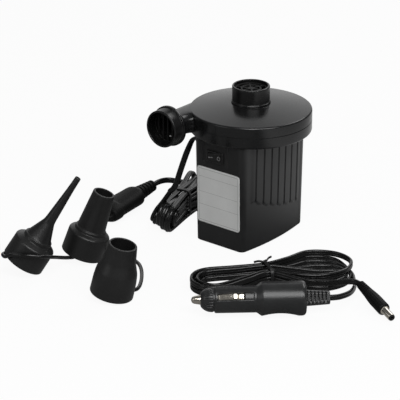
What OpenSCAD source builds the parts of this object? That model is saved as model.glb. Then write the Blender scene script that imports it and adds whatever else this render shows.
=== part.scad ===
// Electric air mattress pump with push-on nozzles, mains cord and 12 V car lead
// Millimetres, +Z up, origin on the floor under the fan axis, label face towards -Y

/* [Shown] */
// Sub-part to draw, or all of them
// Smoothness of round faces
$fn = 72; // [24:4:120]

/* [Body] */
// Half width of the body at its widest, at the base
body_half_w = 26.4; // [23:0.2:30]
// Distance from the fan axis to the label face, at the base
body_front = 40; // [36:0.5:42]
// Distance from the fan axis to the back, at the base
body_back = 46; // [40:0.5:47]
// Radius of the barrel-shaped sides
side_r = 220; // [150:5:400]
// Place along the depth where the body is widest
side_mid = -6; // [-12:1:6]
// Radius of the two front corners
front_corner_r = 5; // [3:0.5:8]
// Radius of the two back corners
back_corner_r = 12; // [8:0.5:14]
// How much the outline grows from the base up to the casing
body_draft = 1.5; // [0:0.1:2]
// Wall thickness of the mouldings
wall = 2.2; // [1.8:0.1:2.8]
// Height of the underside above the floor
foot_h = 0.8; // [0.4:0.1:2]
// Number of grooves on each side
groove_count = 7; // [3:1:8]
// Distance between grooves
groove_pitch = 9.2; // [7:0.1:10]
// Place of the first groove
groove_first = -26.5; // [-28:0.5:-20]
// Radius of a groove
groove_r = 1; // [0.6:0.1:1.6]
// Depth of a groove
groove_depth = 0.8; // [0.4:0.1:1]
// Height where the grooves end, in the middle of the side
groove_end = 33.4; // [20:0.2:50]
// Slope of the line the grooves end on
groove_slope = 0.29; // [0:0.01:0.4]

/* [Label and switch] */
// Width of the label plate
label_w = 43; // [20:0.5:44]
// Height of the label plate
label_h = 48; // [20:0.5:52]
// Height of the middle of the label plate
label_z = 42; // [34:0.5:44]
// Corner radius of the label plate
label_r = 2.5; // [1:0.5:6]
// Thickness of the label plate
label_t = 0.4; // [0.3:0.05:0.6]
// Sideways place of the switch
switch_x = -2.9; // [-8:0.1:8]
// Height of the middle of the switch
switch_z = 77; // [74:0.1:80]
// Width of the switch rim
switch_w = 17; // [14:0.2:20]
// Height of the switch rim
switch_h = 9.6; // [8:0.2:12]
// Turn of the rocker from off to on
rocker_travel = 22; // [10:1:26]

/* [Fan casing] */
// Radius of the round casing
casing_r = 49; // [48.5:0.1:54]
// Height of the casing underside
casing_z = 90.3; // [86:0.1:100]
// Height of the casing rim
rim_h = 18.1; // [16:0.1:24]
// Rise of the cover from its edge to the collar
dome_rise = 4.5; // [2:0.1:8]
// Radius of the rounded rim edges
rim_round = 1.6; // [0.8:0.1:2]
// Radius of the impeller
impeller_r = 36.5; // [30:0.5:37]
// Number of impeller blades
blade_count = 9; // [5:1:13]
// Sweep of a blade from hub to tip
blade_sweep = 48; // [20:1:70]

/* [Inlet and outlet] */
// Radius of the inlet collar and the outlet spout
port_r = 15.1; // [13:0.1:15.4]
// Wall thickness of collar and spout
port_wall = 1.7; // [1.4:0.1:2.4]
// Height of the inlet collar
collar_h = 13.9; // [10:0.1:20]
// Depth of the inlet grille below the collar edge
inlet_recess = 2.4; // [1:0.1:6]
// Sideways place of the outlet axis
spout_x = -37.7; // [-39:0.1:-36]
// Distance from the fan axis to the spout mouth
spout_reach = 66.4; // [60:0.2:80]
// Length of the spout with its rear ring
spout_len = 12; // [10:0.2:20]
// Radius of the rear ring of the spout
spout_ring_r = 16.4; // [16:0.1:18]
// Width of the outlet neck
neck_w = 22; // [20:0.2:22]

/* [Motor] */
// Radius of the motor can
motor_r = 18; // [17.8:0.1:18.5]
// Length of the motor can
motor_len = 57; // [50:0.5:58]
// Radius of the rotor shaft
shaft_r = 1.585; // [1.5:0.005:2]
// Radial play between shaft and bush
bush_play = 0.06; // [0.02:0.01:0.1]
// Radial gap between armature and magnets
air_gap = 0.5; // [0.4:0.1:0.8]

/* [Nozzles] */
// Play of a nozzle cup over the port
cup_play = 0.2; // [0.1:0.05:0.4]
// Wall thickness of a nozzle cup
cup_wall = 1.6; // [1.2:0.1:2.2]
// Depth of the bore in a nozzle cup
cup_depth = 14; // [10:0.5:15]
// Length of the needle nozzle
needle_len = 83; // [70:0.5:100]
// Length of the medium nozzle
medium_len = 54.4; // [45:0.2:65]
// Length of the wide nozzle
wide_len = 42.4; // [38:0.2:52]
// Thickness of the tether
tether_d = 3; // [2:0.1:4]

/* [Car plug] */
// Radius of the barrel
barrel_r = 10.2; // [9.8:0.1:10.5]
// Radius of the grip
grip_r = 13.1; // [12:0.1:15]
// Length of the barrel
barrel_len = 33.5; // [30:0.5:40]
// Length of the grip
grip_len = 35; // [28:0.5:45]
// Length of the ribbed relief
relief_len = 18; // [12:0.5:24]
// Number of ribs on the relief
relief_ribs = 6; // [3:1:8]
// Travel of the centre tip
tip_travel = 3; // [1:0.5:3]
// How far a side contact stands out
contact_out = 1.4; // [0.8:0.1:2]

/* [Mains plug] */
// Length of the mains plug without its pins
plug_len = 62; // [50:0.5:70]
// Length of its ribbed strain relief
plug_relief = 13.2; // [9:0.1:18]
// Distance between the pins
pin_gap = 18.6; // [17:0.1:19.5]
// Thickness of a pin
pin_d = 4; // [3.5:0.1:4.8]
// Length of a pin
pin_len = 19; // [15:0.5:19]

/* [Cords] */
// Thickness of the mains cord
mains_d = 4.6; // [3:0.1:6]
// Thickness of the car lead
lead_d = 4.4; // [3:0.1:6]
// Height of the tied mains hank
mains_hank_h = 24; // [16:0.5:30]
// Height of the tied lead hank
lead_hank_h = 11; // [8:0.5:16]
// Thickness of a wire tie
tie_t = 1.2; // [0.8:0.1:2]

/* [Hidden] */
eps = 0.01;
gap = 0.35;
draft_angle = atan(body_draft / casing_z);
seam_z = casing_z + rim_h * 0.51;
rim_z = casing_z + rim_h;
collar_z = rim_z + dome_rise;
collar_top = collar_z + collar_h;
floor_t = 2.5;
floor_top = casing_z + floor_t;
plate_top = foot_h + 2.5;
spout_z = casing_z + rim_h / 2;
neck_end = spout_reach - spout_len;
seat_r = port_r + 0.5;
scroll_from = 232;
scroll_turn = 290;
scroll_r = impeller_r + 2.1;
scroll_grow = casing_r - wall - scroll_r;
cover_screw_r = casing_r - wall - 2;
boss_gap = 0.3;
cover_screw_angles = [-60, -15, 35, 80];
casing_screw_at = [[21.3, -9], [-21.3, -9], [21.3, 18], [-21.3, 18]];
motor_screw_at = 12.5;
can_wall = 1.1;
can_bottom = casing_z - motor_len;
magnet_t = 1.2;
core_r = motor_r - can_wall - magnet_t - air_gap;
core_z = can_bottom + 16;
core_len = motor_len - 27;
magnet_len = core_len + 4;
slot_w = 4.8;
slot_root = 6;
hub_r = 6;
blade_root = hub_r + 2;
blade_h = 9.6;
blade_t = 1.4;
front_post = [side_x(front_corner_r - body_front) - front_corner_r, front_corner_r - body_front];
back_post = [side_x(body_back - back_corner_r) - back_corner_r + 5, body_back - back_corner_r + 5];
post_top = 22;
post_r = 3.6;
gland_y = -22;
gland_z = 80;
gland_out = 9;
gland_r = 4;
gland_x = side_x(gland_y) + body_draft * gland_z / casing_z;
dc_z = 60;
dc_r = 5.5;
dc_bore_r = 3.05;
dc_pin_r = 1.02;
board_y = 21;
board_t = 1.6;
cup_bore = port_r + cup_play;
cup_r = cup_bore + cup_wall;
needle_at = [-87.4, -174.6];
medium_at = [-68.1, -127.6];
wide_at = [-2.6, -166.1];
needle_lean = [32.5, 39.6];
medium_lean = [19.7, 39.6];
wide_lean = [13.3, 25];
car_at = [65, -152.5];
car_heading = 42;
contact_roll = 55;
nose_x = 6.6;
barrel_x = 17.4;
grip_x = barrel_x + barrel_len;
relief_x = grip_x + grip_len;
car_end_x = relief_x + relief_len;
dc_rear = [144.8, -47.4, 12];
dc_heading = -23.7;
dc_pitch = 10.2;
plug_rear = [-105.3, 1, 13.2];
plug_heading = -89.2;
plug_pitch = 5;
gland_turn = asin((gland_y - side_mid) / side_r);
gland_dir = [-cos(draft_angle) * cos(gland_turn), cos(draft_angle) * sin(gland_turn), -sin(draft_angle)];
plug_dir = [cos(plug_heading) * cos(plug_pitch), sin(plug_heading) * cos(plug_pitch), -sin(plug_pitch)];
dc_dir = [cos(dc_heading) * cos(dc_pitch), sin(dc_heading) * cos(dc_pitch), -sin(dc_pitch)];
car_dir = [cos(car_heading), sin(car_heading), 0];
touch = 0.02;
mains_exit = [-gland_x, gland_y, gland_z] + (gland_out + touch) * gland_dir;
mains_end = [-60.2, -35.8, mains_hank_h + touch];
mains_route = [mains_exit + 2 * gland_dir, [-42.4, -24.8, 75], [-45, -27, 65], [-49.1, -29.7, 49.1],
    [-53, -31.8, 37], mains_end + [0, 0, 3]];
tail_start = [-86 - touch, 20, 13];
tail_route = [tail_start - [2, 0, 0], [-91.6, 20.4, 13.4], [-97.2, 19, 14], [-102.6, 14.8, 14.4], [-105.2, 8.4, 14],
    plug_rear - 2 * plug_dir];
lead_out = car_point(car_end_x + touch, 0, 0);
lead_route = [lead_out + 2 * car_dir, [144.5, -72, 11.3], [140.5, -58, 7], [136, -45, 3.8], [131.5, -35.5, 2.4],
    [127, -30.9, 2.3], [123, -29, 2.3]];
lead_stop = [120.1, -28.1, 2.4];
lead_end_start = [119.5, -30.9, 7];
lead_end_route = [[122, -31.7, 7.6], [125, -32.8, 8.2], [130, -36, 9.6], [137, -41.6, 11.8], dc_rear - 2 * dc_dir];
hank_ends = [[43, -110, 19], [67, -62, 10], [97, -24, 23]];
mains_hank_ends = [[-57.5, -34.5, 13.5], [-64.5, -11, 10], [-74, 20, 12]];
tether_route = [[-99.1, -180.4, 20.7], [-100.8, -181.9, 21.6], [-100.2, -185.2, 20.4], [-96.2, -188.4, 19.8],
    [-91.4, -190.6, 19.5], [-83.5, -190.6, 21], [-75.6, -188.4, 22], [-69, -184.2, 22], [-64.4, -178.5, 20.8],
    [-63.3, -172.5, 18.8], [-63.9, -166.4, 16.3], [-66.3, -160, 13.4], [-70, -152, 9], [-75, -145, 5.2],
    [-83.6, -139.6, 2.6], [-87.6, -129.8, 1.6], [-84, -118.2, 1.6], [-75.4, -111.2, 1.6], [-61, -106.4, 1.6],
    [-43.5, -103.5, 1.6], [-28.7, -106.7, 1.6], [-18, -113.3, 1.6], [-7, -124, 1.6], [1.6, -136, 1.6],
    [5, -145, 2], [5.3, -150.2, 2.6]];

// Half width of the base outline at depth y
function side_x(y) = body_half_w - side_r + sqrt(side_r * side_r - (y - side_mid) * (y - side_mid));
// Outward growth of the body outline at height z
function draft_at(z) = body_draft * z / casing_z;
// Height of the domed cover at radius r
function dome_z(r) = collar_z - dome_rise * pow((r - seat_r) / (casing_r - rim_round - seat_r), 1.4);
// Quarter circle of n steps about [x, z]
function arc_pts(x, z, r, from, to, n = 6) =
    [for (i = [0 : n]) [x + r * cos(from + (to - from) * i / n), z + r * sin(from + (to - from) * i / n)]];
// Radius of the scroll wall at an angle
function scroll_at(a) = scroll_r + scroll_grow * (a - scroll_from) / scroll_turn;
// Point of the car plug in the shared frame
function car_point(x, y, z) = [car_at.x + x * cos(car_heading) - y * sin(car_heading),
    car_at.y + x * sin(car_heading) + y * cos(car_heading), grip_r + z];
function unit(v) = v / norm(v);
// Curve through the route points, k steps between neighbours
function smooth(p, k) = concat([for (i = [0 : len(p) - 2], j = [0 : k - 1])
    let (a = p[max(i - 1, 0)], b = p[i], c = p[i + 1], d = p[min(i + 2, len(p) - 1)], t = j / k)
    0.5 * (2 * b + (c - a) * t + (2 * a - 5 * b + 4 * c - d) * t * t + (3 * b - a - 3 * c + d) * t * t * t)],
    [p[len(p) - 1]]);
// Cord with a straight first and last stretch
function cord_path(from, p, to, k) = concat([from], smooth(p, k), [to]);
function tangent(p, i) = unit(p[min(i + 1, len(p) - 1)] - p[max(i - 1, 0)]);
// Normals carried along the path without twist
function normals(p, i, n) = i == len(p) ? [] :
    let (t = tangent(p, i), m = unit(n - (n * t) * t)) concat([m], normals(p, i + 1, m));

// Round tube along a path
module tube(path, r, sides = 10) {
    n = len(path);
    m = normals(path, 0, [0.31, 0.17, 0.93]);
    pts = [for (i = [0 : n - 1], k = [0 : sides - 1])
        path[i] + r * (cos(360 * k / sides) * m[i] + sin(360 * k / sides) * cross(tangent(path, i), m[i]))];
    walls = [for (i = [0 : n - 2], k = [0 : sides - 1])
        [i * sides + k, (i + 1) * sides + k, (i + 1) * sides + (k + 1) % sides, i * sides + (k + 1) % sides]];
    first = [for (k = [0 : sides - 1]) k];
    last = [for (k = [sides - 1 : -1 : 0]) (n - 1) * sides + k];
    polyhedron(concat(pts), concat(walls, [first], [last]), convexity = 8);
}

// Body outline, grown by g, as overlapping pieces for a hull
module plan_parts(g) {
    for (s = [-1, 1]) {
        translate([s * (side_x(front_corner_r - body_front) - front_corner_r), front_corner_r - body_front])
            circle(front_corner_r + g, $fn = 40);
        translate([s * (side_x(body_back - back_corner_r) - back_corner_r), body_back - back_corner_r])
            circle(back_corner_r + g, $fn = 48);
    }
    intersection() {
        for (s = [-1, 1])
            intersection() {
                translate([body_half_w - side_r, side_mid]) circle(side_r + g, $fn = 360);
                translate([side_r - body_half_w, side_mid]) circle(side_r + g, $fn = 360);
            }
        translate([-60, front_corner_r - body_front])
            square([120, body_back - back_corner_r + body_front - front_corner_r]);
    }
}

// Solid with the drafted body outline between two heights
module drafted(z0, z1, g) {
    hull()
        for (z = [z0, z1 - eps])
            translate([0, 0, z]) linear_extrude(eps) plan_parts(g + draft_at(z));
}

// Frame on the leaning label face, outward along -Y
module on_front(x, z) {
    translate([x, -body_front - draft_at(z), z]) rotate([draft_angle, 0, 0]) children();
}

// Screw with a pan head, head underside at z = 0, shank downwards
module pan_screw(r, h, head_r, head_h) {
    translate([0, 0, -h]) cylinder(r = r, h = h, $fn = 24);
    difference() {
        cylinder(r = head_r, h = head_h, $fn = 32);
        translate([-head_r, -0.3, head_h - 0.6]) cube([2 * head_r, 0.6, 1]);
    }
}

module body_shell() {
    color("#26272a") difference() {
        union() {
            difference() {
                drafted(foot_h, casing_z, 0);
                drafted(foot_h - 1, casing_z + 1, -wall);
            }
            intersection() {
                drafted(foot_h, casing_z, -wall / 2);
                union() {
                    for (s = [-1, 1]) {
                        translate([s * front_post.x, front_post.y, plate_top]) {
                            cylinder(r = post_r, h = post_top - plate_top);
                            rotate([0, 0, s > 0 ? -45 : 225]) translate([0, -1, 0]) cube([9, 2, post_top - plate_top]);
                        }
                        translate([s * back_post.x, back_post.y, plate_top]) {
                            cylinder(r = post_r, h = post_top - plate_top);
                            rotate([0, 0, s > 0 ? 45 : 135]) translate([0, -1, 0]) cube([9, 2, post_top - plate_top]);
                        }
                    }
                    for (p = casing_screw_at) translate([p.x, p.y, casing_z - 13]) {
                        cylinder(r = 3.4, h = 13);
                        translate([p.x > 0 ? 0 : -8, -3.4, 0]) cube([8, 6.8, 13]);
                    }
                }
            }
        }
        for (s = [-1, 1]) {
            translate([s * front_post.x, front_post.y, plate_top - 1]) cylinder(r = 1.3, h = 11, $fn = 24);
            translate([s * back_post.x, back_post.y, plate_top - 1]) cylinder(r = 1.3, h = 11, $fn = 24);
        }
        for (p = casing_screw_at)
            translate([p.x, p.y, casing_z - 10]) cylinder(r = 1.3, h = 11, $fn = 24);
        for (s = [-1, 1], i = [0 : groove_count - 1])
            side_groove(s, groove_first + i * groove_pitch);
        on_front(switch_x - 11.7, 71) translate([0, groove_depth - groove_r, 0]) {
            cylinder(r = groove_r, h = 30, $fn = 20);
            sphere(r = groove_r, $fn = 20);
        }
        on_front(0, label_z) translate([-label_w / 2 - 0.2, -1, -label_h / 2 - 0.2])
            cube([label_w + 0.4, 1 + label_t - 0.1, label_h + 0.4]);
        on_front(switch_x, switch_z) translate([1 - switch_w / 2, -5, 1 - switch_h / 2])
            cube([switch_w - 2, 12, switch_h - 2]);
        at_gland() translate([0, 0, -wall - 4]) cylinder(r = gland_r, h = wall + 8, $fn = 40);
        at_dc_socket() translate([0, 0, -wall - 2]) cylinder(r = dc_r + 0.1, h = wall + 4, $fn = 40);
    }
}

// One vertical groove with a round lower end
module side_groove(s, y) {
    z0 = groove_end - groove_slope * y;
    translate([s * (side_x(y) + groove_r - groove_depth), y, 0]) rotate([0, s * draft_angle, 0])
        translate([0, 0, z0]) {
            cylinder(r = groove_r, h = casing_z - z0 + 2, $fn = 20);
            sphere(r = groove_r, $fn = 20);
        }
}

module label_plate() {
    color("#b9bcbe") on_front(0, label_z) translate([0, label_t - 0.1, 0]) rotate([90, 0, 0])
        linear_extrude(label_t) hull()
            for (x = [-1, 1], z = [-1, 1])
                translate([x * (label_w / 2 - label_r), z * (label_h / 2 - label_r)]) circle(label_r, $fn = 32);
}

module base_plate() {
    color("#1f2022") difference() {
        drafted(foot_h, plate_top, -wall - 0.15);
        for (s = [-1, 1], p = [front_post, back_post])
            translate([s * p.x, p.y, foot_h]) {
                translate([0, 0, -1]) cylinder(r = 1.3, h = 6, $fn = 24);
                translate([0, 0, -1]) cylinder(r = 2.8, h = 2.4, $fn = 32);
            }
        for (s = [-1, 1], y = [-20, 24])
            translate([s * 15, y, foot_h - 1]) cylinder(r = 4.5, h = 1.8, $fn = 40);
        for (i = [-2 : 2])
            translate([i * 4.5 - 1, -9, foot_h - 1]) cube([2, 20, 6]);
    }
}

module rubber_feet() {
    color("#151515") for (s = [-1, 1], y = [-20, 24])
        translate([s * 15, y, 0]) cylinder(r1 = 4, r2 = 4.5, h = foot_h + 0.8, $fn = 40);
}

module base_screws() {
    color("#9a9ca0") for (s = [-1, 1], p = [front_post, back_post])
        translate([s * p.x, p.y, foot_h + 1.4]) rotate([180, 0, 0]) pan_screw(1.3, 9, 2.6, 1.2);
}

// Outer solid of the casing and its neck, cut at the seam
module casing_solid() {
    rotate_extrude(convexity = 4) polygon(concat([[0, casing_z]],
        arc_pts(casing_r - rim_round, casing_z + rim_round, rim_round, -90, 0), [[casing_r, seam_z], [0, seam_z]]));
    intersection() {
        neck_block(neck_w, rim_h, 6, neck_end);
        translate([-80, -80, casing_z]) cube([100, 80, seam_z - casing_z]);
    }
}

// Rounded bar along the outlet axis
module neck_block(w, h, r, reach) {
    translate([spout_x, -reach, spout_z]) rotate([-90, 0, 0]) linear_extrude(reach - 20)
        hull()
            for (x = [-1, 1], z = [-1, 1])
                translate([x * (w / 2 - r), z * (h / 2 - r)]) circle(r, $fn = 40);
}

// Spiral wall round the impeller with its tongue
module scroll_wall(z0, z1) {
    translate([0, 0, z0]) linear_extrude(z1 - z0) {
        polygon(concat(
            [for (i = [0 : 58]) let (a = scroll_from + scroll_turn * i / 58) scroll_at(a) * [cos(a), sin(a)]],
            [for (i = [58 : -1 : 0]) let (a = scroll_from + scroll_turn * i / 58)
                min(scroll_at(a) + 1.6, casing_r - wall / 2) * [cos(a), sin(a)]]));
        rotate(scroll_from) translate([scroll_r, -0.4]) square([casing_r - wall / 2 - scroll_r, 2]);
    }
}

module fan_casing() {
    color("#232427") difference() {
        union() {
            difference() {
                casing_solid();
                translate([0, 0, floor_top]) cylinder(r = casing_r - wall, h = rim_h);
                neck_block(neck_w - 2 * wall, rim_h - 2 * floor_t, 4, neck_end + 1);
            }
            scroll_wall(floor_top - eps, seam_z);
            for (a = cover_screw_angles)
                rotate([0, 0, a]) translate([cover_screw_r, 0, casing_z + 1]) cylinder(r = 2.8, h = seam_z - casing_z - 1 - boss_gap);
        }
        translate([0, 0, casing_z - 1]) cylinder(r = 6.7, h = 8);
        for (s = [-1, 1])
            translate([s * motor_screw_at, 0, casing_z - 1]) cylinder(r = 1.5, h = 8, $fn = 24);
        for (p = casing_screw_at)
            translate([p.x, p.y, casing_z - 1]) cylinder(r = 1.3, h = 8, $fn = 24);
        for (a = cover_screw_angles) rotate([0, 0, a]) translate([cover_screw_r, 0, casing_z]) {
            translate([0, 0, -1]) cylinder(r = 1.3, h = 20, $fn = 24);
            translate([0, 0, -1]) cylinder(r = 2.5, h = 2.4, $fn = 32);
        }
    }
}

module casing_screws() {
    color("#9a9ca0") for (p = casing_screw_at)
        translate([p.x, p.y, floor_top]) pan_screw(1.3, 12, 2.7, 1.6);
}

// Outer solid of the cover: rounded edge and shallow dome
module cover_solid() {
    rotate_extrude(convexity = 4) polygon(concat([[0, seam_z], [casing_r, seam_z]],
        arc_pts(casing_r - rim_round, rim_z - rim_round, rim_round, 0, 90),
        [for (i = [7 : -1 : 0]) let (r = seat_r + (casing_r - rim_round - seat_r) * i / 8) [r, dome_z(r)]],
        [[0, collar_z]]));
}

module top_cover() {
    color("#2b2c2f") difference() {
        union() {
            difference() {
                union() {
                    cover_solid();
                    intersection() {
                        neck_block(neck_w, rim_h, 6, neck_end);
                        translate([-80, -80, seam_z]) cube([100, 80, rim_h]);
                    }
                }
                translate([0, 0, -wall]) intersection() {
                    cover_solid_inside();
                    translate([0, 0, seam_z]) cylinder(r = casing_r - wall, h = 60);
                }
                neck_block(neck_w - 2 * wall, rim_h - 2 * floor_t, 4, neck_end + 1);
            }
            intersection() {
                translate([0, 0, -wall / 2]) cover_solid_inside();
                union() {
                    scroll_wall(seam_z, collar_z);
                    for (a = cover_screw_angles)
                        rotate([0, 0, a]) translate([cover_screw_r, 0, seam_z + boss_gap]) cylinder(r = 2.8, h = 20);
                }
            }
        }
        translate([0, 0, seam_z]) cylinder(r = port_r - port_wall, h = 60);
        for (a = cover_screw_angles)
            rotate([0, 0, a]) translate([cover_screw_r, 0, seam_z - 1]) cylinder(r = 1.3, h = 6, $fn = 24);
    }
}

// Body of revolution under the dome, reaching below the seam
module cover_solid_inside() {
    rotate_extrude(convexity = 4) polygon(concat([[0, seam_z - 8 + wall], [0, seam_z], [casing_r - rim_round, seam_z]],
        [for (i = [8 : -1 : 0]) let (r = seat_r + (casing_r - rim_round - seat_r) * i / 8) [r, dome_z(r)]],
        [[0, collar_z]]));
}

module cover_screws() {
    color("#9a9ca0") for (a = cover_screw_angles)
        rotate([0, 0, a]) translate([cover_screw_r, 0, casing_z + 1.4]) rotate([180, 0, 0])
            pan_screw(1.3, seam_z - casing_z + 3, 2.4, 1.2);
}

module inlet_collar() {
    color("#232427") difference() {
        union() {
            translate([0, 0, collar_z]) cylinder(r = port_r, h = collar_h - 0.8, $fn = 96);
            translate([0, 0, collar_top - 0.8]) cylinder(r1 = port_r, r2 = port_r - 0.6, h = 0.8, $fn = 96);
            translate([0, 0, collar_z]) cylinder(r = seat_r - 0.1, h = 1.3, $fn = 96);
        }
        translate([0, 0, collar_z - 1]) cylinder(r = port_r - port_wall, h = collar_h + 2, $fn = 96);
    }
}

module inlet_grille() {
    r = port_r - port_wall;
    color("#1c1d1f") translate([0, 0, collar_top - inlet_recess - 2]) {
        for (q = [[r - 1.4, r], [r * 0.52, r * 0.62]])
            difference() {
                cylinder(r = q[1], h = 2);
                translate([0, 0, -1]) cylinder(r = q[0], h = 4);
            }
        cylinder(r = r * 0.22, h = 2);
        for (a = [0 : 60 : 300]) rotate([0, 0, a + 15])
            translate([r * 0.2, -0.6, 0.2]) cube([r * 0.75, 1.2, 1.6]);
    }
}

module outlet_spout() {
    color("#242528") translate([spout_x, -spout_reach, spout_z]) rotate([-90, 0, 0]) difference() {
        union() {
            cylinder(r1 = port_r - 0.6, r2 = port_r, h = 0.8, $fn = 96);
            translate([0, 0, 0.8]) cylinder(r = port_r, h = spout_len - 0.8, $fn = 96);
            translate([0, 0, spout_len - 2.6]) cylinder(r = spout_ring_r, h = 2.6, $fn = 96);
        }
        translate([0, 0, -1]) cylinder(r = port_r - port_wall, h = spout_len - 1.2, $fn = 96);
        translate([0, 0, spout_len - 4]) linear_extrude(6) hull()
            for (x = [-1, 1], z = [-1, 1])
                translate([x * (neck_w / 2 - wall - 4), z * (rim_h / 2 - floor_t - 4)]) circle(4, $fn = 40);
    }
}

module outlet_grille() {
    r = port_r - port_wall;
    color("#1c1d1f") translate([spout_x, -spout_reach + spout_len - 3.8, spout_z]) rotate([-90, 0, 0]) {
        difference() {
            cylinder(r = r, h = 1.6);
            translate([0, 0, -1]) cylinder(r = r - 1.2, h = 4);
        }
        intersection() {
            cylinder(r = r - 1, h = 1.6);
            for (i = [-2 : 2]) translate([i * 4.7 - 0.7, -r, 0]) cube([1.4, 2 * r, 1.6]);
        }
    }
}

module motor_can() {
    color("#a7a9ac") difference() {
        union() {
            translate([0, 0, can_bottom]) cylinder(r = motor_r, h = motor_len);
            translate([0, 0, casing_z]) cylinder(r = 6.5, h = 2.8);
        }
        translate([0, 0, can_bottom - 1]) cylinder(r = motor_r - can_wall, h = motor_len - 0.5);
        translate([0, 0, casing_z - 5]) cylinder(r = 3.6, h = 12, $fn = 40);
        for (s = [-1, 1])
            translate([s * motor_screw_at, 0, casing_z - 4]) cylinder(r = 1.5, h = 8, $fn = 24);
    }
}

module motor_end_cap() {
    color("#2f3033") difference() {
        union() {
            translate([0, 0, can_bottom - 4]) cylinder(r = motor_r, h = 4);
            for (s = [-1, 1]) translate([s > 0 ? 6.5 : -12.5, -3.6, can_bottom - 1]) cube([6, 7.2, 11.5]);
        }
        translate([0, 0, can_bottom - 6]) cylinder(r = 3.6, h = 12, $fn = 40);
        for (s = [-1, 1]) translate([s > 0 ? 4 : -13, -2.2, can_bottom + 4]) cube([9, 4.4, 4.4]);
    }
}

module motor_bushes() {
    color("#b08d57") for (z = [casing_z - 1.5, can_bottom - 4])
        translate([0, 0, z]) difference() {
            cylinder(r = 3.6, h = z > 50 ? 4.3 : 4, $fn = 40);
            translate([0, 0, -1]) cylinder(r = shaft_r + bush_play, h = 8, $fn = 48);
        }
}

module motor_magnets() {
    color("#3a3b3e") for (s = [0, 180]) rotate([0, 0, s - 65]) translate([0, 0, core_z - 2])
        rotate_extrude(angle = 130) translate([motor_r - can_wall - magnet_t, 0]) square([magnet_t - 0.05, magnet_len]);
}

module carbon_brushes() {
    color("#2a2a2a") for (s = [-1, 1])
        translate([s > 0 ? 5 + gap : -11 - gap, -2.2, can_bottom + 4]) cube([6, 4.4, 4.4]);
}

module motor_screws() {
    color("#9a9ca0") for (s = [-1, 1])
        translate([s * motor_screw_at, 0, floor_top]) pan_screw(1.5, floor_t + 1.5, 2.7, 1.6);
}

module rotor_shaft() {
    color("#c9cbce") translate([0, 0, can_bottom - 5]) cylinder(r = shaft_r, h = motor_len + 17, $fn = 48);
}

module armature_core() {
    color("#85878b") translate([0, 0, core_z]) difference() {
        cylinder(r = core_r, h = core_len);
        translate([0, 0, -1]) cylinder(r = shaft_r, h = core_len + 2, $fn = 48);
        for (a = [0 : 72 : 288]) rotate([0, 0, a]) translate([slot_root, -slot_w / 2, -1])
            cube([core_r, slot_w, core_len + 2]);
    }
}

module armature_windings() {
    color("#b46a35") translate([0, 0, core_z]) {
        for (a = [0 : 72 : 288]) rotate([0, 0, a]) translate([slot_root + 0.2, -slot_w / 2, 0])
            cube([core_r - slot_root - 1.4, slot_w, core_len]);
        for (z = [-3.4, core_len]) translate([0, 0, z]) difference() {
            cylinder(r = core_r - 2, h = 3.4);
            translate([0, 0, -1]) cylinder(r = shaft_r + 2.4, h = 6);
        }
    }
}

module commutator() {
    color("#b87333") translate([0, 0, can_bottom + 2.5]) difference() {
        cylinder(r = 5, h = 8, $fn = 60);
        translate([0, 0, -1]) cylinder(r = shaft_r, h = 10, $fn = 48);
        for (a = [0 : 72 : 288]) rotate([0, 0, a]) translate([4.4, -0.2, -1]) cube([2, 0.4, 10]);
    }
}

// Outline of one swept blade
function blade_side(off, n = 8) = [for (i = [0 : n]) let (t = i / n, r = blade_root + (impeller_r - blade_root - 0.6) * t,
    a = -blade_sweep * pow(t, 0.9) + off / r * 57.3) [r * cos(a), r * sin(a)]];

module impeller() {
    z0 = floor_top + 3.1;
    color("#3b3d41") difference() {
        union() {
            translate([0, 0, z0]) cylinder(r = impeller_r, h = 1.5, $fn = 96);
            translate([0, 0, z0]) cylinder(r = hub_r, h = 8.5);
            for (i = [0 : blade_count - 1]) rotate([0, 0, 360 * i / blade_count]) translate([0, 0, z0])
                linear_extrude(blade_h)
                polygon(concat(blade_side(-blade_t / 2), [for (k = [8 : -1 : 0]) blade_side(blade_t / 2)[k]]));
        }
        translate([0, 0, z0 - 1]) cylinder(r = shaft_r, h = 12, $fn = 48);
    }
}

module power_board() {
    color("#2f6b45") translate([-16, board_y, plate_top]) cube([32, board_t, 66]);
}

module transformer() {
    color("#c8a23a") translate([-10.5, board_y + board_t, plate_top + 6]) {
        cube([21, 2, 22]);
        translate([3, 2, 3]) cube([15, 11, 16]);
        translate([0, 5, 0]) cube([21, 5, 3]);
        translate([0, 5, 19]) cube([21, 5, 3]);
    }
}

module capacitors() {
    color("#30343c") for (x = [-6, 6])
        translate([x, board_y + board_t, plate_top + 40]) rotate([-90, 0, 0]) cylinder(r = 4.2, h = 13, $fn = 40);
}

// Frame of the DC socket, +Z straight out of the leaning back
module at_dc_socket() {
    translate([0, body_back + draft_at(dc_z), dc_z]) rotate([-90 - draft_angle, 0, 0]) children();
}

module dc_socket() {
    color("#191a1c") at_dc_socket() {
        difference() {
            union() {
                translate([0, 0, -wall - 0.2]) cylinder(r = dc_r, h = wall + 0.8, $fn = 40);
                translate([-dc_r, -dc_r, -wall - 9]) cube([2 * dc_r, 2 * dc_r, 8.9]);
            }
            translate([0, 0, -wall - 7]) cylinder(r = dc_bore_r, h = wall + 10, $fn = 40);
        }
        translate([0, 0, -wall - 8]) cylinder(r = dc_pin_r, h = wall + 7, $fn = 24);
    }
}

module switch_frame() {
    color("#141517") on_front(switch_x, switch_z) difference() {
        union() {
            translate([-switch_w / 2, -1.2, -switch_h / 2]) cube([switch_w, 1.2, switch_h]);
            translate([1 - switch_w / 2, -0.1, 1 - switch_h / 2]) cube([switch_w - 2, 14, switch_h - 2]);
        }
        translate([1.8 - switch_w / 2, -2, 1.5 - switch_h / 2]) cube([switch_w - 3.6, 10, switch_h - 3]);
    }
}

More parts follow.
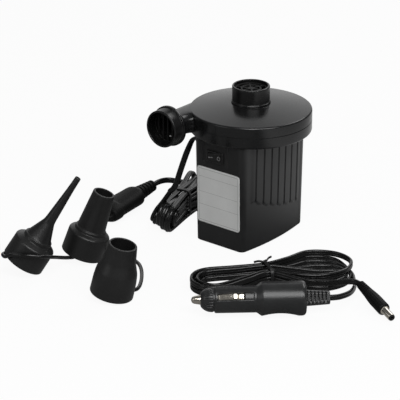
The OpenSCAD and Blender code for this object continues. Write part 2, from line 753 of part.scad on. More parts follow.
// Rocker outline from above: two faces meeting in a shallow valley
module rocker() {
    w = switch_w / 2 - 1.8 - gap;
    color("#1b1c1e") on_front(switch_x, switch_z)
        translate([0, 1.2, gap + 1.5 - switch_h / 2]) rotate([0, 0, rocker_travel / 2])
            linear_extrude(switch_h - 3 - 2 * gap) polygon([[-w * 0.9, -3.4], [0, -2.1], [w * 0.9, -3.4],
                [w * 0.94, -0.6], [2.4, 3.2], [-2.4, 3.2], [-w * 0.94, -0.6]]);
}

// Frame of the cord gland, +Z straight out of the curved wall
module at_gland() {
    translate([-gland_x, gland_y, gland_z]) rotate([0, 0, -gland_turn]) rotate([0, -90 - draft_angle, 0]) children();
}

module cord_gland() {
    color("#17181a") at_gland() {
        translate([0, 0, -wall - 2.1]) cylinder(r = gland_r + 1.3, h = 1.9, $fn = 40);
        translate([0, 0, -wall - 0.3]) cylinder(r = gland_r - 0.1, h = wall + 0.6, $fn = 40);
        translate([0, 0, 0.2]) cylinder(r1 = gland_r + 1.2, r2 = gland_r - 0.4, h = gland_out - 0.2, $fn = 40);
    }
}

module mains_cord_run() {
    color("#131313") tube(cord_path(mains_exit, mains_route, mains_end, 3), mains_d / 2);
}

// Tied bundle with round ends
module hank(ends, h) {
    linear_extrude(h) for (i = [0 : len(ends) - 2])
        hull()
            for (e = [ends[i], ends[i + 1]]) translate([e[0], e[1]]) circle(e[2], $fn = 32);
}

module mains_cord_hank() {
    color("#161616") hank(mains_hank_ends, mains_hank_h);
}

module mains_cord_tail() {
    color("#131313") tube(cord_path(tail_start, tail_route, plug_rear - touch * plug_dir, 4), mains_d / 2);
}

// Wire tie over the top and both sides of a hank
module wire_tie(at, heading, w, h) {
    translate([at.x, at.y, 0]) rotate([0, 0, heading]) difference() {
        translate([-1.5, -w - tie_t, 0]) cube([3, 2 * (w + tie_t), h + tie_t]);
        translate([-3, -w, -1]) cube([6, 2 * w, h + 1]);
    }
}

module mains_cord_tie() {
    a = mains_hank_ends[0];
    b = mains_hank_ends[1];
    heading = atan2(b.y - a.y, b.x - a.x);
    color("#0f0f0f") wire_tie([b.x, b.y, 0], heading, b[2] + 0.6, mains_hank_h + 0.3);
}

// Frame of the mains plug, +X from the cord to the pins
module at_mains_plug() {
    translate(plug_rear) rotate([0, 0, plug_heading]) rotate([0, plug_pitch, 0]) children();
}

// Oval slice across the mains plug, w wide and h high from the middle
module plug_slice(x, w, h) {
    translate([x, 0, 0]) rotate([0, 90, 0]) linear_extrude(0.8) scale([h / w, 1]) circle(w, $fn = 40);
}

module mains_plug_body() {
    color("#1b1b1c") at_mains_plug() {
        difference() {
            rotate([0, 90, 0]) cylinder(r1 = 4.6, r2 = 5.7, h = plug_relief + 0.5, $fn = 32);
            for (x = [3, 6.5, 10]) translate([x, 0, 0]) rotate([0, 90, 0]) difference() {
                cylinder(r = 9, h = 1.4, $fn = 32);
                translate([0, 0, -1]) cylinder(r = 3.6 + x * 0.1, h = 4, $fn = 32);
            }
        }
        hull() {
            plug_slice(plug_relief, 8, 6.4);
            plug_slice(plug_relief + 7, 11.4, 7.3);
            plug_slice(plug_len - 4.8, 13, 8.05);
            plug_slice(plug_len - 0.8, 12.2, 7.5);
        }
    }
}

// Two round pins
module mains_plug_blades() {
    color("#c7b98e") at_mains_plug() for (y = [-pin_gap / 2, pin_gap / 2])
        translate([plug_len, y, 0]) rotate([0, 90, 0]) {
            cylinder(d = pin_d, h = pin_len - 1.2, $fn = 32);
            translate([0, 0, pin_len - 1.2]) cylinder(d1 = pin_d, d2 = pin_d - 1.6, h = 1.2, $fn = 32);
        }
}

// Standing frame of a nozzle that leans towards a heading, its cup edge on the floor
module lean_at(at, lean) {
    translate([at.x, at.y, cup_r * sin(lean[0])]) rotate([0, 0, lean[1]]) rotate([0, lean[0], 0]) children();
}

module needle_nozzle() {
    color("#1e1e1f") lean_at(needle_at, needle_lean) rotate_extrude(convexity = 4) polygon([
        [cup_bore, 0], [cup_r, 0], [cup_r - 0.2, 17.2], [cup_r - 1.2, 18.9], [11, 24], [10.4, 25.2],
        [4.6, 39.5], [2.9, needle_len - 8], [2.4, needle_len - 7.4], [2.3, needle_len],
        [1.2, needle_len], [1.4, 60], [2.8, 40], [8.6, 25], [13.6, cup_depth + 2], [cup_bore, cup_depth]]);
}

module medium_nozzle() {
    color("#1e1e1f") lean_at(medium_at, medium_lean) rotate_extrude(convexity = 4) polygon([
        [cup_bore, 0], [cup_r, 0], [cup_r - 0.2, 17.2], [cup_r - 1.2, 18.9], [12.2, 22.6], [11.4, 23.4],
        [8.6, medium_len], [7, medium_len], [9.4, 24], [13.6, cup_depth + 2.6], [cup_bore, cup_depth]]);
}

module wide_nozzle() {
    color("#1e1e1f") lean_at(wide_at, wide_lean) rotate_extrude(convexity = 4) polygon([
        [cup_bore, 0], [cup_r, 0], [cup_r - 0.2, 11.5], [cup_r - 0.6, 12.2], [15.9, 20], [13.2, 27.5],
        [12.6, 29], [11, wide_len], [9.4, wide_len], [11.2, 28], [13.8, cup_depth + 4], [cup_bore, cup_depth]]);
}

module nozzle_tether() {
    color("#151515") tube(smooth(tether_route, 3), tether_d / 2, 8);
}

// Frame of the car plug, +X from the tip to the lead
module at_car_plug() {
    translate([car_at.x, car_at.y, grip_r]) rotate([0, 0, car_heading]) children();
}

module car_plug_tip() {
    color("#d0d2d4") at_car_plug() rotate([0, 90, 0]) {
        translate([0, 0, 2.4]) sphere(r = 2.4, $fn = 32);
        translate([0, 0, 2.4]) cylinder(r1 = 2.4, r2 = 2.75, h = 8.2, $fn = 40);
        translate([0, 0, 10.6]) cylinder(r = 4, h = 1.6, $fn = 40);
    }
}

module car_plug_nose() {
    color("#202123") at_car_plug() rotate([0, 90, 0]) difference() {
        union() {
            translate([0, 0, nose_x]) cylinder(r1 = 6, r2 = 8.6, h = 5, $fn = 60);
            translate([0, 0, nose_x + 5]) cylinder(r = 9.8, h = barrel_x - nose_x - 5, $fn = 60);
        }
        translate([0, 0, 0]) cylinder(r = 2.75 + gap, h = 12, $fn = 40);
        translate([0, 0, 10.6 - gap]) cylinder(r = 4 + gap, h = 12, $fn = 40);
        for (a = [0 : 15 : 345]) rotate([0, 0, a]) translate([9.5, -0.5, nose_x + 5.4]) cube([2, 1, 4.4]);
    }
}

module car_plug_body() {
    color("#242528") at_car_plug() difference() {
        rotate([0, 90, 0]) union() {
            translate([0, 0, barrel_x]) cylinder(r = barrel_r, h = barrel_len, $fn = 72);
            translate([0, 0, grip_x - 2.5]) cylinder(r1 = barrel_r, r2 = grip_r, h = 5, $fn = 72);
            translate([0, 0, grip_x + 2.5]) cylinder(r = grip_r, h = grip_len - 5.5, $fn = 72);
            translate([0, 0, relief_x - 3]) cylinder(r1 = grip_r, r2 = grip_r - 2.6, h = 3, $fn = 72);
        }
        translate([barrel_x - 1, 0, 0]) rotate([0, 90, 0]) cylinder(r = 4.2, h = 45, $fn = 40);
        for (s = [0, 180]) rotate([contact_roll + s, 0, 0]) {
            translate([barrel_x + 9, -2.6, barrel_r - 3.9]) cube([20, 5.2, 9]);
            translate([barrel_x + 2, -3.2, barrel_r - 0.5]) cube([barrel_len - 6, 6.4, 4]);
        }
        translate([grip_x + grip_len * 0.55, 0, -grip_r - 58.8]) rotate([90, 0, 0])
            cylinder(r = 60, h = 60, center = true, $fn = 180);
    }
}

// Bent contact strip, outward along +Z
module contact_strip() {
    x0 = barrel_x + 9.6;
    top = barrel_r + contact_out;
    translate([x0, 2.2, 0]) rotate([90, 0, 0]) linear_extrude(4.4)
        polygon([[0, barrel_r - 2], [18.6, barrel_r - 2], [18.6, barrel_r - 0.9], [14, top], [8, top], [0, barrel_r - 0.9]]);
}

module car_plug_contact_near() {
    color("#d8dadc") at_car_plug() rotate([contact_roll, 0, 0]) contact_strip();
}

module car_plug_contact_far() {
    color("#d8dadc") at_car_plug() rotate([contact_roll + 180, 0, 0]) contact_strip();
}

module car_plug_fuse() {
    color("#cfd6d8") at_car_plug() translate([10.6 + 1.6 + tip_travel + gap, 0, 0]) rotate([0, 90, 0])
        cylinder(r = 3.1, h = 30, $fn = 40);
}

module car_plug_spring() {
    x0 = 10.6 + 1.6 + tip_travel + gap + 30;
    turns = 5;
    path = [for (i = [0 : turns * 14]) [x0 + 0.6 + i * (barrel_x + 42.6 - x0) / (turns * 14),
        2.7 * cos(360 * i / 14), 2.7 * sin(360 * i / 14)]];
    color("#c4c6c9") at_car_plug() tube(path, 0.55, 8);
}

module car_plug_relief() {
    color("#1d1e20") at_car_plug() rotate([0, 90, 0]) translate([0, 0, relief_x]) difference() {
        cylinder(r1 = 6.2, r2 = 5, h = relief_len, $fn = 48);
        for (i = [0 : relief_ribs - 1])
            translate([0, 0, 1.6 + i * (relief_len - 2) / relief_ribs]) difference() {
                cylinder(r = 9, h = 1.2, $fn = 48);
                translate([0, 0, -1]) cylinder(r = 4, h = 4, $fn = 48);
            }
    }
}

module car_lead_start() {
    color("#131313") tube(cord_path(lead_out, lead_route, lead_stop, 4), lead_d / 2);
}

module car_lead_hank() {
    color("#161616") hank(hank_ends, lead_hank_h);
}

module car_lead_tie() {
    e = hank_ends[1];
    color("#0f0f0f") wire_tie([e.x, e.y, 0], 58, e[2] + 1.6, lead_hank_h + 0.3);
}

module car_lead_end() {
    color("#131313") tube(cord_path(lead_end_start, lead_end_route, dc_rear - touch * dc_dir, 4), lead_d / 2);
}

// Frame of the DC plug, +X from the lead to the barrel tip
module at_dc_plug() {
    translate(dc_rear) rotate([0, 0, dc_heading]) rotate([0, dc_pitch, 0]) children();
}

module dc_plug_grip() {
    color("#1c1d1f") at_dc_plug() rotate([0, 90, 0]) difference() {
        union() {
            cylinder(r1 = 3.2, r2 = 4, h = 12, $fn = 40);
            translate([0, 0, 12]) cylinder(r1 = 4, r2 = 5, h = 3, $fn = 40);
            translate([0, 0, 15]) cylinder(r = 5, h = 21, $fn = 40);
        }
        for (i = [0 : 3]) translate([0, 0, 1.6 + i * 2.8]) difference() {
            cylinder(r = 8, h = 1.1, $fn = 40);
            translate([0, 0, -1]) cylinder(r = 2.6 + i * 0.2, h = 4, $fn = 40);
        }
    }
}

module dc_plug_barrel() {
    color("#cbbf9f") at_dc_plug() translate([36, 0, 0]) rotate([0, 90, 0]) difference() {
        cylinder(r = 2.75, h = 10.5, $fn = 40);
        translate([0, 0, 1]) cylinder(r = 2.2, h = 12, $fn = 40);
    }
}

module dc_plug_core() {
    color("#101010") at_dc_plug() translate([37, 0, 0]) rotate([0, 90, 0]) difference() {
        union() {
            cylinder(r = 2.2, h = 9.5, $fn = 40);
            translate([0, 0, 9.5]) cylinder(r = 2.6, h = 0.9, $fn = 40);
        }
        translate([0, 0, 1]) cylinder(r = 1.1, h = 12, $fn = 24);
    }
}

body_shell();
label_plate();
base_plate();
rubber_feet();
base_screws();
fan_casing();
casing_screws();
top_cover();
cover_screws();
inlet_collar();
inlet_grille();
outlet_spout();
outlet_grille();
motor_can();
motor_end_cap();
motor_bushes();
motor_magnets();
carbon_brushes();
motor_screws();
rotor_shaft();
armature_core();
armature_windings();
commutator();
impeller();
power_board();
transformer();
capacitors();
dc_socket();
switch_frame();
rocker();
cord_gland();
mains_cord_run();
mains_cord_hank();
mains_cord_tail();
mains_cord_tie();
mains_plug_body();
mains_plug_blades();
needle_nozzle();
medium_nozzle();
wide_nozzle();
nozzle_tether();
car_plug_tip();
car_plug_nose();
car_plug_body();
car_plug_contact_near();
car_plug_contact_far();
car_plug_fuse();
car_plug_spring();
car_plug_relief();
car_lead_start();
car_lead_hank();
car_lead_tie();
car_lead_end();
dc_plug_grip();
dc_plug_barrel();
dc_plug_core();
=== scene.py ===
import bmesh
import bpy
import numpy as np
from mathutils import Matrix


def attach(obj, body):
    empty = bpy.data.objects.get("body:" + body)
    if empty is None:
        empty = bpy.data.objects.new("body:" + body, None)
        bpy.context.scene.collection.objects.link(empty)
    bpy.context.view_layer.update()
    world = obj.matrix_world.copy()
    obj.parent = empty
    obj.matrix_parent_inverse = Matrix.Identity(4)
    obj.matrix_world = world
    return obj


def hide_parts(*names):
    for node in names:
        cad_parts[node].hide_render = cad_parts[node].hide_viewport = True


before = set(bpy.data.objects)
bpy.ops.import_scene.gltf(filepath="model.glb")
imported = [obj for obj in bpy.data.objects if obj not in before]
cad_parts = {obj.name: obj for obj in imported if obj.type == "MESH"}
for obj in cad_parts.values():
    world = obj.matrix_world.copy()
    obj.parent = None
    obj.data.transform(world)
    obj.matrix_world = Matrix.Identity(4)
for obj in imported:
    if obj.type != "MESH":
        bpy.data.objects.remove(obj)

# %% [markdown]
# # An electric air pump, its nozzles and its two leads
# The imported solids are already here, in metres, with the floor at z = 0, the label face towards -Y
# and the spout on the left of it. This lesson puts the camera where the photographer stood, lays the
# cords, and then gives every piece a surface worked out from a formula and a finish of its own.
# All formulas below are in millimetres; one helper turns them into metres when a mesh is made.

MM = 0.001
UP = np.array([0.0, 0.0, 1.0])
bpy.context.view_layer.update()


def unit(v):
    """Vectors divided by their own length, along the last axis."""
    v = np.asarray(v, float)
    return v / np.maximum(np.linalg.norm(v, axis=-1, keepdims=True), 1e-12)


def new_object(name, data, axes=None, at=None):
    """An object in the scene; a camera or lamp also gets its three axes and its place in metres."""
    thing = bpy.data.objects.new(name, data)
    if axes is not None:
        thing.matrix_world = Matrix(np.vstack([np.column_stack([*axes, at]), (0, 0, 0, 1)]).tolist())
    bpy.context.scene.collection.objects.link(thing)
    return thing


# %% [markdown]
# ## Camera
# The photograph is a long-lens product shot from the front right and a little above. A camera can be
# aimed by hand or with a Track To constraint. Here its three axes are written down directly: the
# turn and tilt were fitted to the round casing, the collar and the label, so the picture lines up
# with the photograph without any lens shift.

# %% Camera
TURN, TILT, AWAY, FOCAL_PX = np.radians(39.62), np.radians(22.51), 1800.0, 2208.27
right = np.array([np.cos(TURN), np.sin(TURN), 0.0])
back = np.array([np.sin(TURN) * np.cos(TILT), -np.cos(TURN) * np.cos(TILT), np.sin(TILT)])
up = np.cross(back, right)
eye = -40.52 * right + 25.89 * up + AWAY * back
lens = bpy.data.cameras.new("photo_lens")
lens.sensor_width = 36.0
lens.lens = lens.sensor_width * FOCAL_PX / 400.0
lens.clip_start, lens.clip_end = 0.05, 50.0
bpy.context.scene.camera = new_object("photo_camera", lens, (right, up, back), eye * MM)
print("camera at", np.round(eye * MM, 3), "m, lens", round(lens.lens, 1), "mm")

# %% [markdown]
# ## From a grid of points to a piece
# Nearly every piece here is a grid: point (i, j) of an array, with neighbours joined by quads. A
# turned piece is a profile spun round an axis, a cord is a section carried along a path. Modelling by
# hand would start from a cylinder and push rings about; with arrays the formula is the model, and a
# radius can be changed in one place. Rows that shrink to one point are merged, so poles are closed.

# %% Grid helpers
def grid_quads(rows, cols, wrap_i, wrap_j):
    """Corner numbers of the quads between neighbouring rows and columns of a grid."""
    n = np.arange(rows * cols).reshape(rows, cols)
    n = np.vstack([n, n[:1]]) if wrap_i else n
    n = np.hstack([n, n[:, :1]]) if wrap_j else n
    return np.stack([n[:-1, :-1], n[1:, :-1], n[1:, 1:], n[:-1, 1:]], -1).reshape(-1, 4)


def tube(points):
    """A grid whose rows are rings."""
    return points, False, True


def torus(points):
    """A grid that closes both ways, such as a closed profile spun round an axis."""
    return points, True, True


def make_piece(name, grids, material, replaced=(), crease=32.0, body="pump"):
    """One object from several (points, wrap_i, wrap_j) grids in millimetres. Coincident points are
    merged, faces turned outwards and edges sharper than the crease angle kept sharp."""
    points, faces, start = [], [], 0
    for p, wrap_i, wrap_j in grids:
        points.append(p.reshape(-1, 3))
        faces.append(grid_quads(*p.shape[:2], wrap_i, wrap_j) + start)
        start += len(points[-1])
    mesh = bpy.data.meshes.new(name)
    mesh.from_pydata((np.concatenate(points) * MM).tolist(), [], np.concatenate(faces).tolist())
    work = bmesh.new()
    work.from_mesh(mesh)
    bmesh.ops.remove_doubles(work, verts=work.verts, dist=2e-6)
    bmesh.ops.dissolve_degenerate(work, edges=work.edges, dist=1e-7)
    bmesh.ops.recalc_face_normals(work, faces=work.faces)
    work.to_mesh(mesh)
    work.free()
    mesh.polygons.foreach_set("use_smooth", np.ones(len(mesh.polygons), bool))
    mesh.set_sharp_from_angle(angle=np.radians(crease))
    mesh.materials.append(material)
    piece = new_object(name, mesh)
    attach(piece, body)
    if replaced:
        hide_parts(*replaced)
    print(f"{name}: {len(mesh.polygons)} faces")
    return piece


def rounded(corners, radius, steps=5):
    """A closed polyline with each corner replaced by a short parabola that starts and ends a radius
    away from it, or at 0.45 of the shorter edge."""
    p = np.asarray(corners, float)
    behind, ahead = np.roll(p, 1, 0) - p, np.roll(p, -1, 0) - p
    reach = np.minimum(np.linalg.norm(behind, axis=1), np.linalg.norm(ahead, axis=1))
    cut = np.minimum(np.broadcast_to(np.asarray(radius, float), len(p)), 0.45 * reach)[:, None]
    a, b = p + unit(behind) * cut, p + unit(ahead) * cut
    t = np.linspace(0, 1, steps)[None, :, None]
    curve = (1 - t) ** 2 * a[:, None] + 2 * t * (1 - t) * p[:, None] + t**2 * b[:, None]
    return curve.reshape(-1, p.shape[1])


def full_turn(sides):
    """Evenly spaced angles once round."""
    return np.linspace(0, 2 * np.pi, sides, endpoint=False)


def turned(profile, sides):
    """Profile of (radius, height) pairs spun round Z: x = r cos t, y = r sin t, z = height."""
    t = full_turn(sides)
    r, z = np.asarray(profile, float)[..., None].transpose(1, 0, 2)
    return np.stack([r * np.cos(t), r * np.sin(t), np.repeat(z, sides, 1)], -1)


def moved(points, origin, x_axis, y_axis, z_axis):
    """Local points put at an origin, with their three axes laid along three given directions."""
    return np.asarray(points, float) @ np.array([x_axis, y_axis, z_axis], float) + np.asarray(origin, float)


print("grid helpers ready")

# %% [markdown]
# ## Floor, background and light
# The real picture is a white studio sweep. A white background could be had by flooding the set with
# light, but that would wash the black plastic out. Instead the floor and the world are white only
# for the rays that leave the camera. For mirrored rays the floor glows with a painted reflection, a
# grey ramp that is darker towards the front and paler behind. For everything else it is a plainly
# lit pale floor, so the faint shadow under each piece stays.

# %% Node helpers
def cleared_tree(owner):
    """The emptied node tree of a material or world."""
    owner.use_nodes = True
    owner.node_tree.nodes.clear()
    return owner.node_tree


def add_node(tree, kind, inputs=None, **settings):
    """One node. Each input is a plain value, a socket, or a node, which stands for its first output."""
    node = tree.nodes.new(kind if kind.startswith("NodeGroup") else "ShaderNode" + kind)
    for key, value in settings.items():
        setattr(node, key, value)
    for key, value in (inputs or {}).items():
        if isinstance(value, bpy.types.Node):
            value = value.outputs[0]
        if isinstance(value, bpy.types.NodeSocket):
            tree.links.new(value, node.inputs[key])
        else:
            node.inputs[key].default_value = value
    return node


def maths(tree, operation, *parts, clamp=False):
    """One Math node: parts are sockets or plain numbers."""
    return add_node(tree, "Math", dict(enumerate(parts)), operation=operation, use_clamp=clamp).outputs[0]


def grey(level, warm=0.0):
    """A near-neutral colour: warm > 0 leans to red, warm < 0 to blue."""
    return (level * (1 + warm), level, level * (1 - warm), 1.0)


def pick_ray(tree, camera_part, mirror_part):
    """A factor that is camera_part for camera rays, mirror_part for mirrored or refracted rays, else 0."""
    rays = add_node(tree, "LightPath").outputs
    mirrored = maths(tree, "MAXIMUM", rays["Is Glossy Ray"], rays["Is Transmission Ray"])
    scaled = maths(tree, "MULTIPLY", mirrored, mirror_part)
    return maths(tree, "MULTIPLY_ADD", rays["Is Camera Ray"], camera_part, scaled)


# %% Floor
floor_finish = bpy.data.materials.new("studio_floor")
tree = cleared_tree(floor_finish)
where = add_node(tree, "TexCoord").outputs["Object"]
# Painted reflection: a grey ramp, darker towards the front and paler behind, given out only to mirrored rays.
behind = add_node(tree, "VectorMath", {0: where, 1: (0.64, 0.77, 0.0)}, operation="DOT_PRODUCT")
fade = add_node(tree, "MapRange", {"Value": behind.outputs["Value"], "From Min": -0.2, "From Max": 0.4})
painted_reflection_ramp = add_node(tree, "ValToRGB", {0: fade})
for spot, level in ((0.2, 0.2), (0.32, 0.08), (0.4, 0.16), (0.5, 0.66), (0.6, 0.7)):
    painted_reflection_ramp.color_ramp.elements.new(spot).color = grey(level)
painted_reflection_ramp.color_ramp.elements[0].color, painted_reflection_ramp.color_ramp.elements[-1].color = grey(0.2), grey(0.42)
painted_reflection_glow = add_node(tree, "Emission", {"Color": painted_reflection_ramp})
lit = add_node(tree, "BsdfDiffuse", {"Color": grey(0.86)})
white = add_node(tree, "Emission", {"Color": grey(1.0), "Strength": 1.0})
seen = add_node(tree, "MixShader", {0: pick_ray(tree, 0.93, 0.0), 1: lit, 2: white})
mirrored = add_node(tree, "MixShader", {0: pick_ray(tree, 0.0, 1.0), 1: seen, 2: painted_reflection_glow})
add_node(tree, "OutputMaterial", {"Surface": mirrored})
floor_mesh = bpy.data.meshes.new("studio_floor")
side = np.linspace(-4.0, 4.0, 3)
floor_quads = grid_quads(3, 3, False, False)[:, ::-1].tolist()
floor_mesh.from_pydata([(x, y, -0.0002) for x in side for y in side], [], floor_quads)
floor_mesh.materials.append(floor_finish)
studio_floor = new_object("studio_floor", floor_mesh)
print("floor of", len(floor_mesh.polygons), "faces")

# %% World and lamps
world = bpy.data.worlds.new("studio")
bpy.context.scene.world = world
tree = cleared_tree(world)
seen = add_node(tree, "Background", {"Color": grey(1.0), "Strength": 1.0})
around = add_node(tree, "Background", {"Color": (0.97, 0.985, 1.0, 1), "Strength": 0.12})
mix = add_node(tree, "MixShader", {0: pick_ray(tree, 1.0, 0.0), 1: around, 2: seen})
add_node(tree, "OutputWorld", {"Surface": mix})


def softbox(name, place, target, size, power):
    """A square area lamp in metres, aimed from its place at a target."""
    lamp = bpy.data.lights.new(name, "AREA")
    lamp.shape, lamp.size, lamp.energy = "SQUARE", size, power
    z = unit(np.subtract(place, target))
    x = unit(np.cross((0.0, 1.0, 0.2), z))
    new_object(name, lamp, (x, np.cross(z, x), z), place)
    print(name, "of", size, "m at", place, "with", power, "W")


softbox("key_softbox", (0.75, -0.85, 1.25), (0.05, -0.1, 0.0), 0.9, 14.0)
softbox("backdrop_softbox", (-1.25, 1.50, 0.75), (0.0, 0.0, 0.08), 2.2, 10.5)
softbox("right_softbox", (1.21, -0.31, 1.0), (0.0, -0.02, 0.06), 0.6, 6.0)
softbox("front_fill", (-0.55, -1.6, 0.8), (0.0, -0.05, 0.05), 0.8, 2.2)
softbox("rear_softbox", (0.15, 1.0, 1.15), (0.02, -0.05, 0.06), 0.7, 5.0)
bpy.context.scene.view_settings.view_transform = "Standard"

# %% [markdown]
# ## Finishes that many pieces share
# Nearly everything here is black moulded plastic, yet each moulding reads differently: a spark-eroded
# grain on the housing, a polished cover, dull soft nozzles. Three effects are shared as node groups.
# The grain group mixes a fine noise (the texture of the mould) with a slow one (flow and handling
# marks); the edge group finds edges by comparing a bevelled normal with the real one, for a lighter
# edge that is partly rubbed wear and partly a painted highlight; the dust group looks for upward
# faces. Groups give out only colours, masks and heights; the shader stays outside.

# %% Group helpers
def new_group(name, inputs, outputs):
    """An empty shader node group and its input sockets, from {name: default} and the names of the
    outputs. A socket is a colour if its default or its name says so, otherwise a number."""
    group = bpy.data.node_groups.new(name, "ShaderNodeTree")
    for label, default in inputs.items():
        kind = "NodeSocketColor" if isinstance(default, tuple) else "NodeSocketFloat"
        group.interface.new_socket(label, in_out="INPUT", socket_type=kind).default_value = default
    for label in outputs:
        kind = "NodeSocketColor" if label == "Colour" else "NodeSocketFloat"
        group.interface.new_socket(label, in_out="OUTPUT", socket_type=kind)
    print("group", group.name)
    return group, add_node(group, "NodeGroupInput").outputs


def object_noise(tree, scale, detail=2.0):
    """Noise that is fixed to the object."""
    where = add_node(tree, "TexCoord").outputs["Object"]
    return add_node(tree, "TexNoise", {"Vector": where, "Scale": scale, "Detail": detail}).outputs[0]


def product(tree, a, b, c):
    """Three masks multiplied and kept between 0 and 1."""
    return maths(tree, "MULTIPLY", maths(tree, "MULTIPLY", a, b), c, clamp=True)


# %% Moulded grain
moulded_grain, given = new_group(
    "moulded_grain", {"Tone": (0.01, 0.01, 0.011, 1), "Roughness": 0.4, "Grain Size": 0.5, "Unevenness": 0.3},
    ["Colour", "Roughness", "Height"])
tree = moulded_grain
fine = object_noise(tree, maths(tree, "DIVIDE", 1000.0, given["Grain Size"]), 3.0)
slow = object_noise(tree, 38.0, 4.0)
drift, speck = (maths(tree, "MULTIPLY", maths(tree, "SUBTRACT", noise, 0.5), given["Unevenness"])
                for noise in (slow, fine))
lift = maths(tree, "ADD", 1.0, maths(tree, "MULTIPLY_ADD", drift, 1.6, speck))
tinted = add_node(tree, "VectorMath", {0: given["Tone"], "Scale": lift}, operation="SCALE")
gloss = maths(tree, "MULTIPLY", given["Roughness"], maths(tree, "MULTIPLY_ADD", drift, 0.9, 1.0), clamp=True)
add_node(tree, "NodeGroupOutput", {"Colour": tinted, "Roughness": gloss, "Height": fine})

# %% Edge wear and painted highlight
edge_wear_and_highlight, given = new_group("edge_wear_and_highlight", {"Reach": 0.0006, "Amount": 0.5}, ["Mask"])
tree = edge_wear_and_highlight
# Mask of the edges, where the colour is lightened both for rubbed wear and as a painted highlight.
soft = add_node(tree, "Bevel", {"Radius": given["Reach"]}, samples=4)
facing = add_node(tree, "NewGeometry").outputs["Normal"]
same = add_node(tree, "VectorMath", {0: soft, 1: facing}, operation="DOT_PRODUCT").outputs["Value"]
bend = maths(tree, "MULTIPLY", maths(tree, "SUBTRACT", 1.0, same), 5.0, clamp=True)
add_node(tree, "NodeGroupOutput", {"Mask": product(tree, bend, object_noise(tree, 160.0), given["Amount"])})

# %% Settled dust
settled_dust, given = new_group("settled_dust", {"Amount": 0.1}, ["Mask"])
tree = settled_dust
height = add_node(tree, "SeparateXYZ", {0: add_node(tree, "NewGeometry").outputs["Normal"]}).outputs["Z"]
upward = maths(tree, "POWER", maths(tree, "MAXIMUM", height, 0.0), 3.0)
spots = add_node(tree, "MapRange", {"Value": object_noise(tree, 900.0, 5.0), "From Min": 0.52, "From Max": 0.78})
add_node(tree, "NodeGroupOutput", {"Mask": product(tree, upward, spots.outputs[0], given["Amount"])})

# %% [markdown]
# ## Plastics and metals
# One function makes every plastic: grain for tone, gloss and relief, lighter edges that are partly
# rubbed wear and partly a painted highlight, and a trace of dust on top. A second makes the metals,
# whose roughness follows fine machining lines and whose edges are lightened the same way. The
# numbers are what tells the pieces apart: the cover is the glossiest, the nozzles the dullest.

# %% Material makers
def blend_colour(tree, factor, a, b):
    """One colour Mix node: factor is a socket or number, a and b are sockets or colours."""
    return add_node(tree, "Mix", {0: factor, 6: a, 7: b}, data_type="RGBA").outputs[2]


def scaled_colour(tone, factor, lift=0.0):
    """A colour made lighter or darker, up to white."""
    return tuple(min(1.0, factor * c + lift) for c in tone[:3]) + (1.0,)


def finished(material, tree, height, strength, distance, inputs):
    """Closes a material: a Principled shader with bump from a height, distance in metres."""
    bump = add_node(tree, "Bump", {"Strength": strength, "Distance": distance, "Height": height})
    shader = add_node(tree, "BsdfPrincipled", {**inputs, "Normal": bump})
    add_node(tree, "OutputMaterial", {"Surface": shader})
    return material


def plastic(name, tone, roughness, grain=0.5, relief=0.12, uneven=0.3, rub_and_highlight=0.5, dust=0.05, shine=0.5):
    """Moulded plastic: grain colour, lighter edges (rubbed wear and painted highlight) and dust mixed into the base
    colour, relief in mm of bump.
    """
    material = bpy.data.materials.new(name)
    material.diffuse_color = tone
    tree = cleared_tree(material)
    texture = add_node(tree, "Group", node_tree=moulded_grain, inputs={
        "Tone": tone, "Roughness": roughness, "Grain Size": grain, "Unevenness": uneven}).outputs
    worn_and_highlit_edge = add_node(tree, "Group", {"Reach": 0.0006, "Amount": rub_and_highlight}, node_tree=edge_wear_and_highlight)
    dusty = add_node(tree, "Group", {"Amount": dust}, node_tree=settled_dust)
    # Edges 2.6 times lighter: partly rubbed wear, partly a painted highlight.
    colour = blend_colour(tree, worn_and_highlit_edge, texture["Colour"], scaled_colour(tone, 2.6, 0.012))
    colour = blend_colour(tree, dusty, colour, (0.32, 0.31, 0.29, 1.0))
    return finished(material, tree, texture["Height"], 0.6, relief * MM, {
        "Base Color": colour, "Roughness": texture["Roughness"], "Specular IOR Level": shine})


def metal(name, tone, roughness, uneven=0.25):
    """Bare metal: a noise squeezed along one axis gives machining lines to roughness, tone and bump."""
    material = bpy.data.materials.new(name)
    material.diffuse_color = tone
    tree = cleared_tree(material)
    where = add_node(tree, "TexCoord").outputs["Object"]
    squeeze = add_node(tree, "Mapping", {"Vector": where, "Scale": (1.0, 1.0, 0.05)})
    streak = add_node(tree, "TexNoise", {"Vector": squeeze, "Scale": 2200.0, "Detail": 3.0}).outputs[0]
    worn_and_highlit_edge = add_node(tree, "Group", {"Reach": 0.0004, "Amount": 0.5}, node_tree=edge_wear_and_highlight)
    colour = blend_colour(tree, streak, scaled_colour(tone, 1 - uneven), tone)
    # Edges 1.15 times lighter: partly worn bright, partly a painted highlight.
    colour = blend_colour(tree, worn_and_highlit_edge, colour, scaled_colour(tone, 1.15))
    gloss = add_node(tree, "MapRange", {"Value": streak, "To Min": roughness * 0.7, "To Max": roughness * 1.3})
    return finished(material, tree, streak, 0.3, 0.00002, {
        "Base Color": colour, "Roughness": gloss, "Metallic": 1.0})


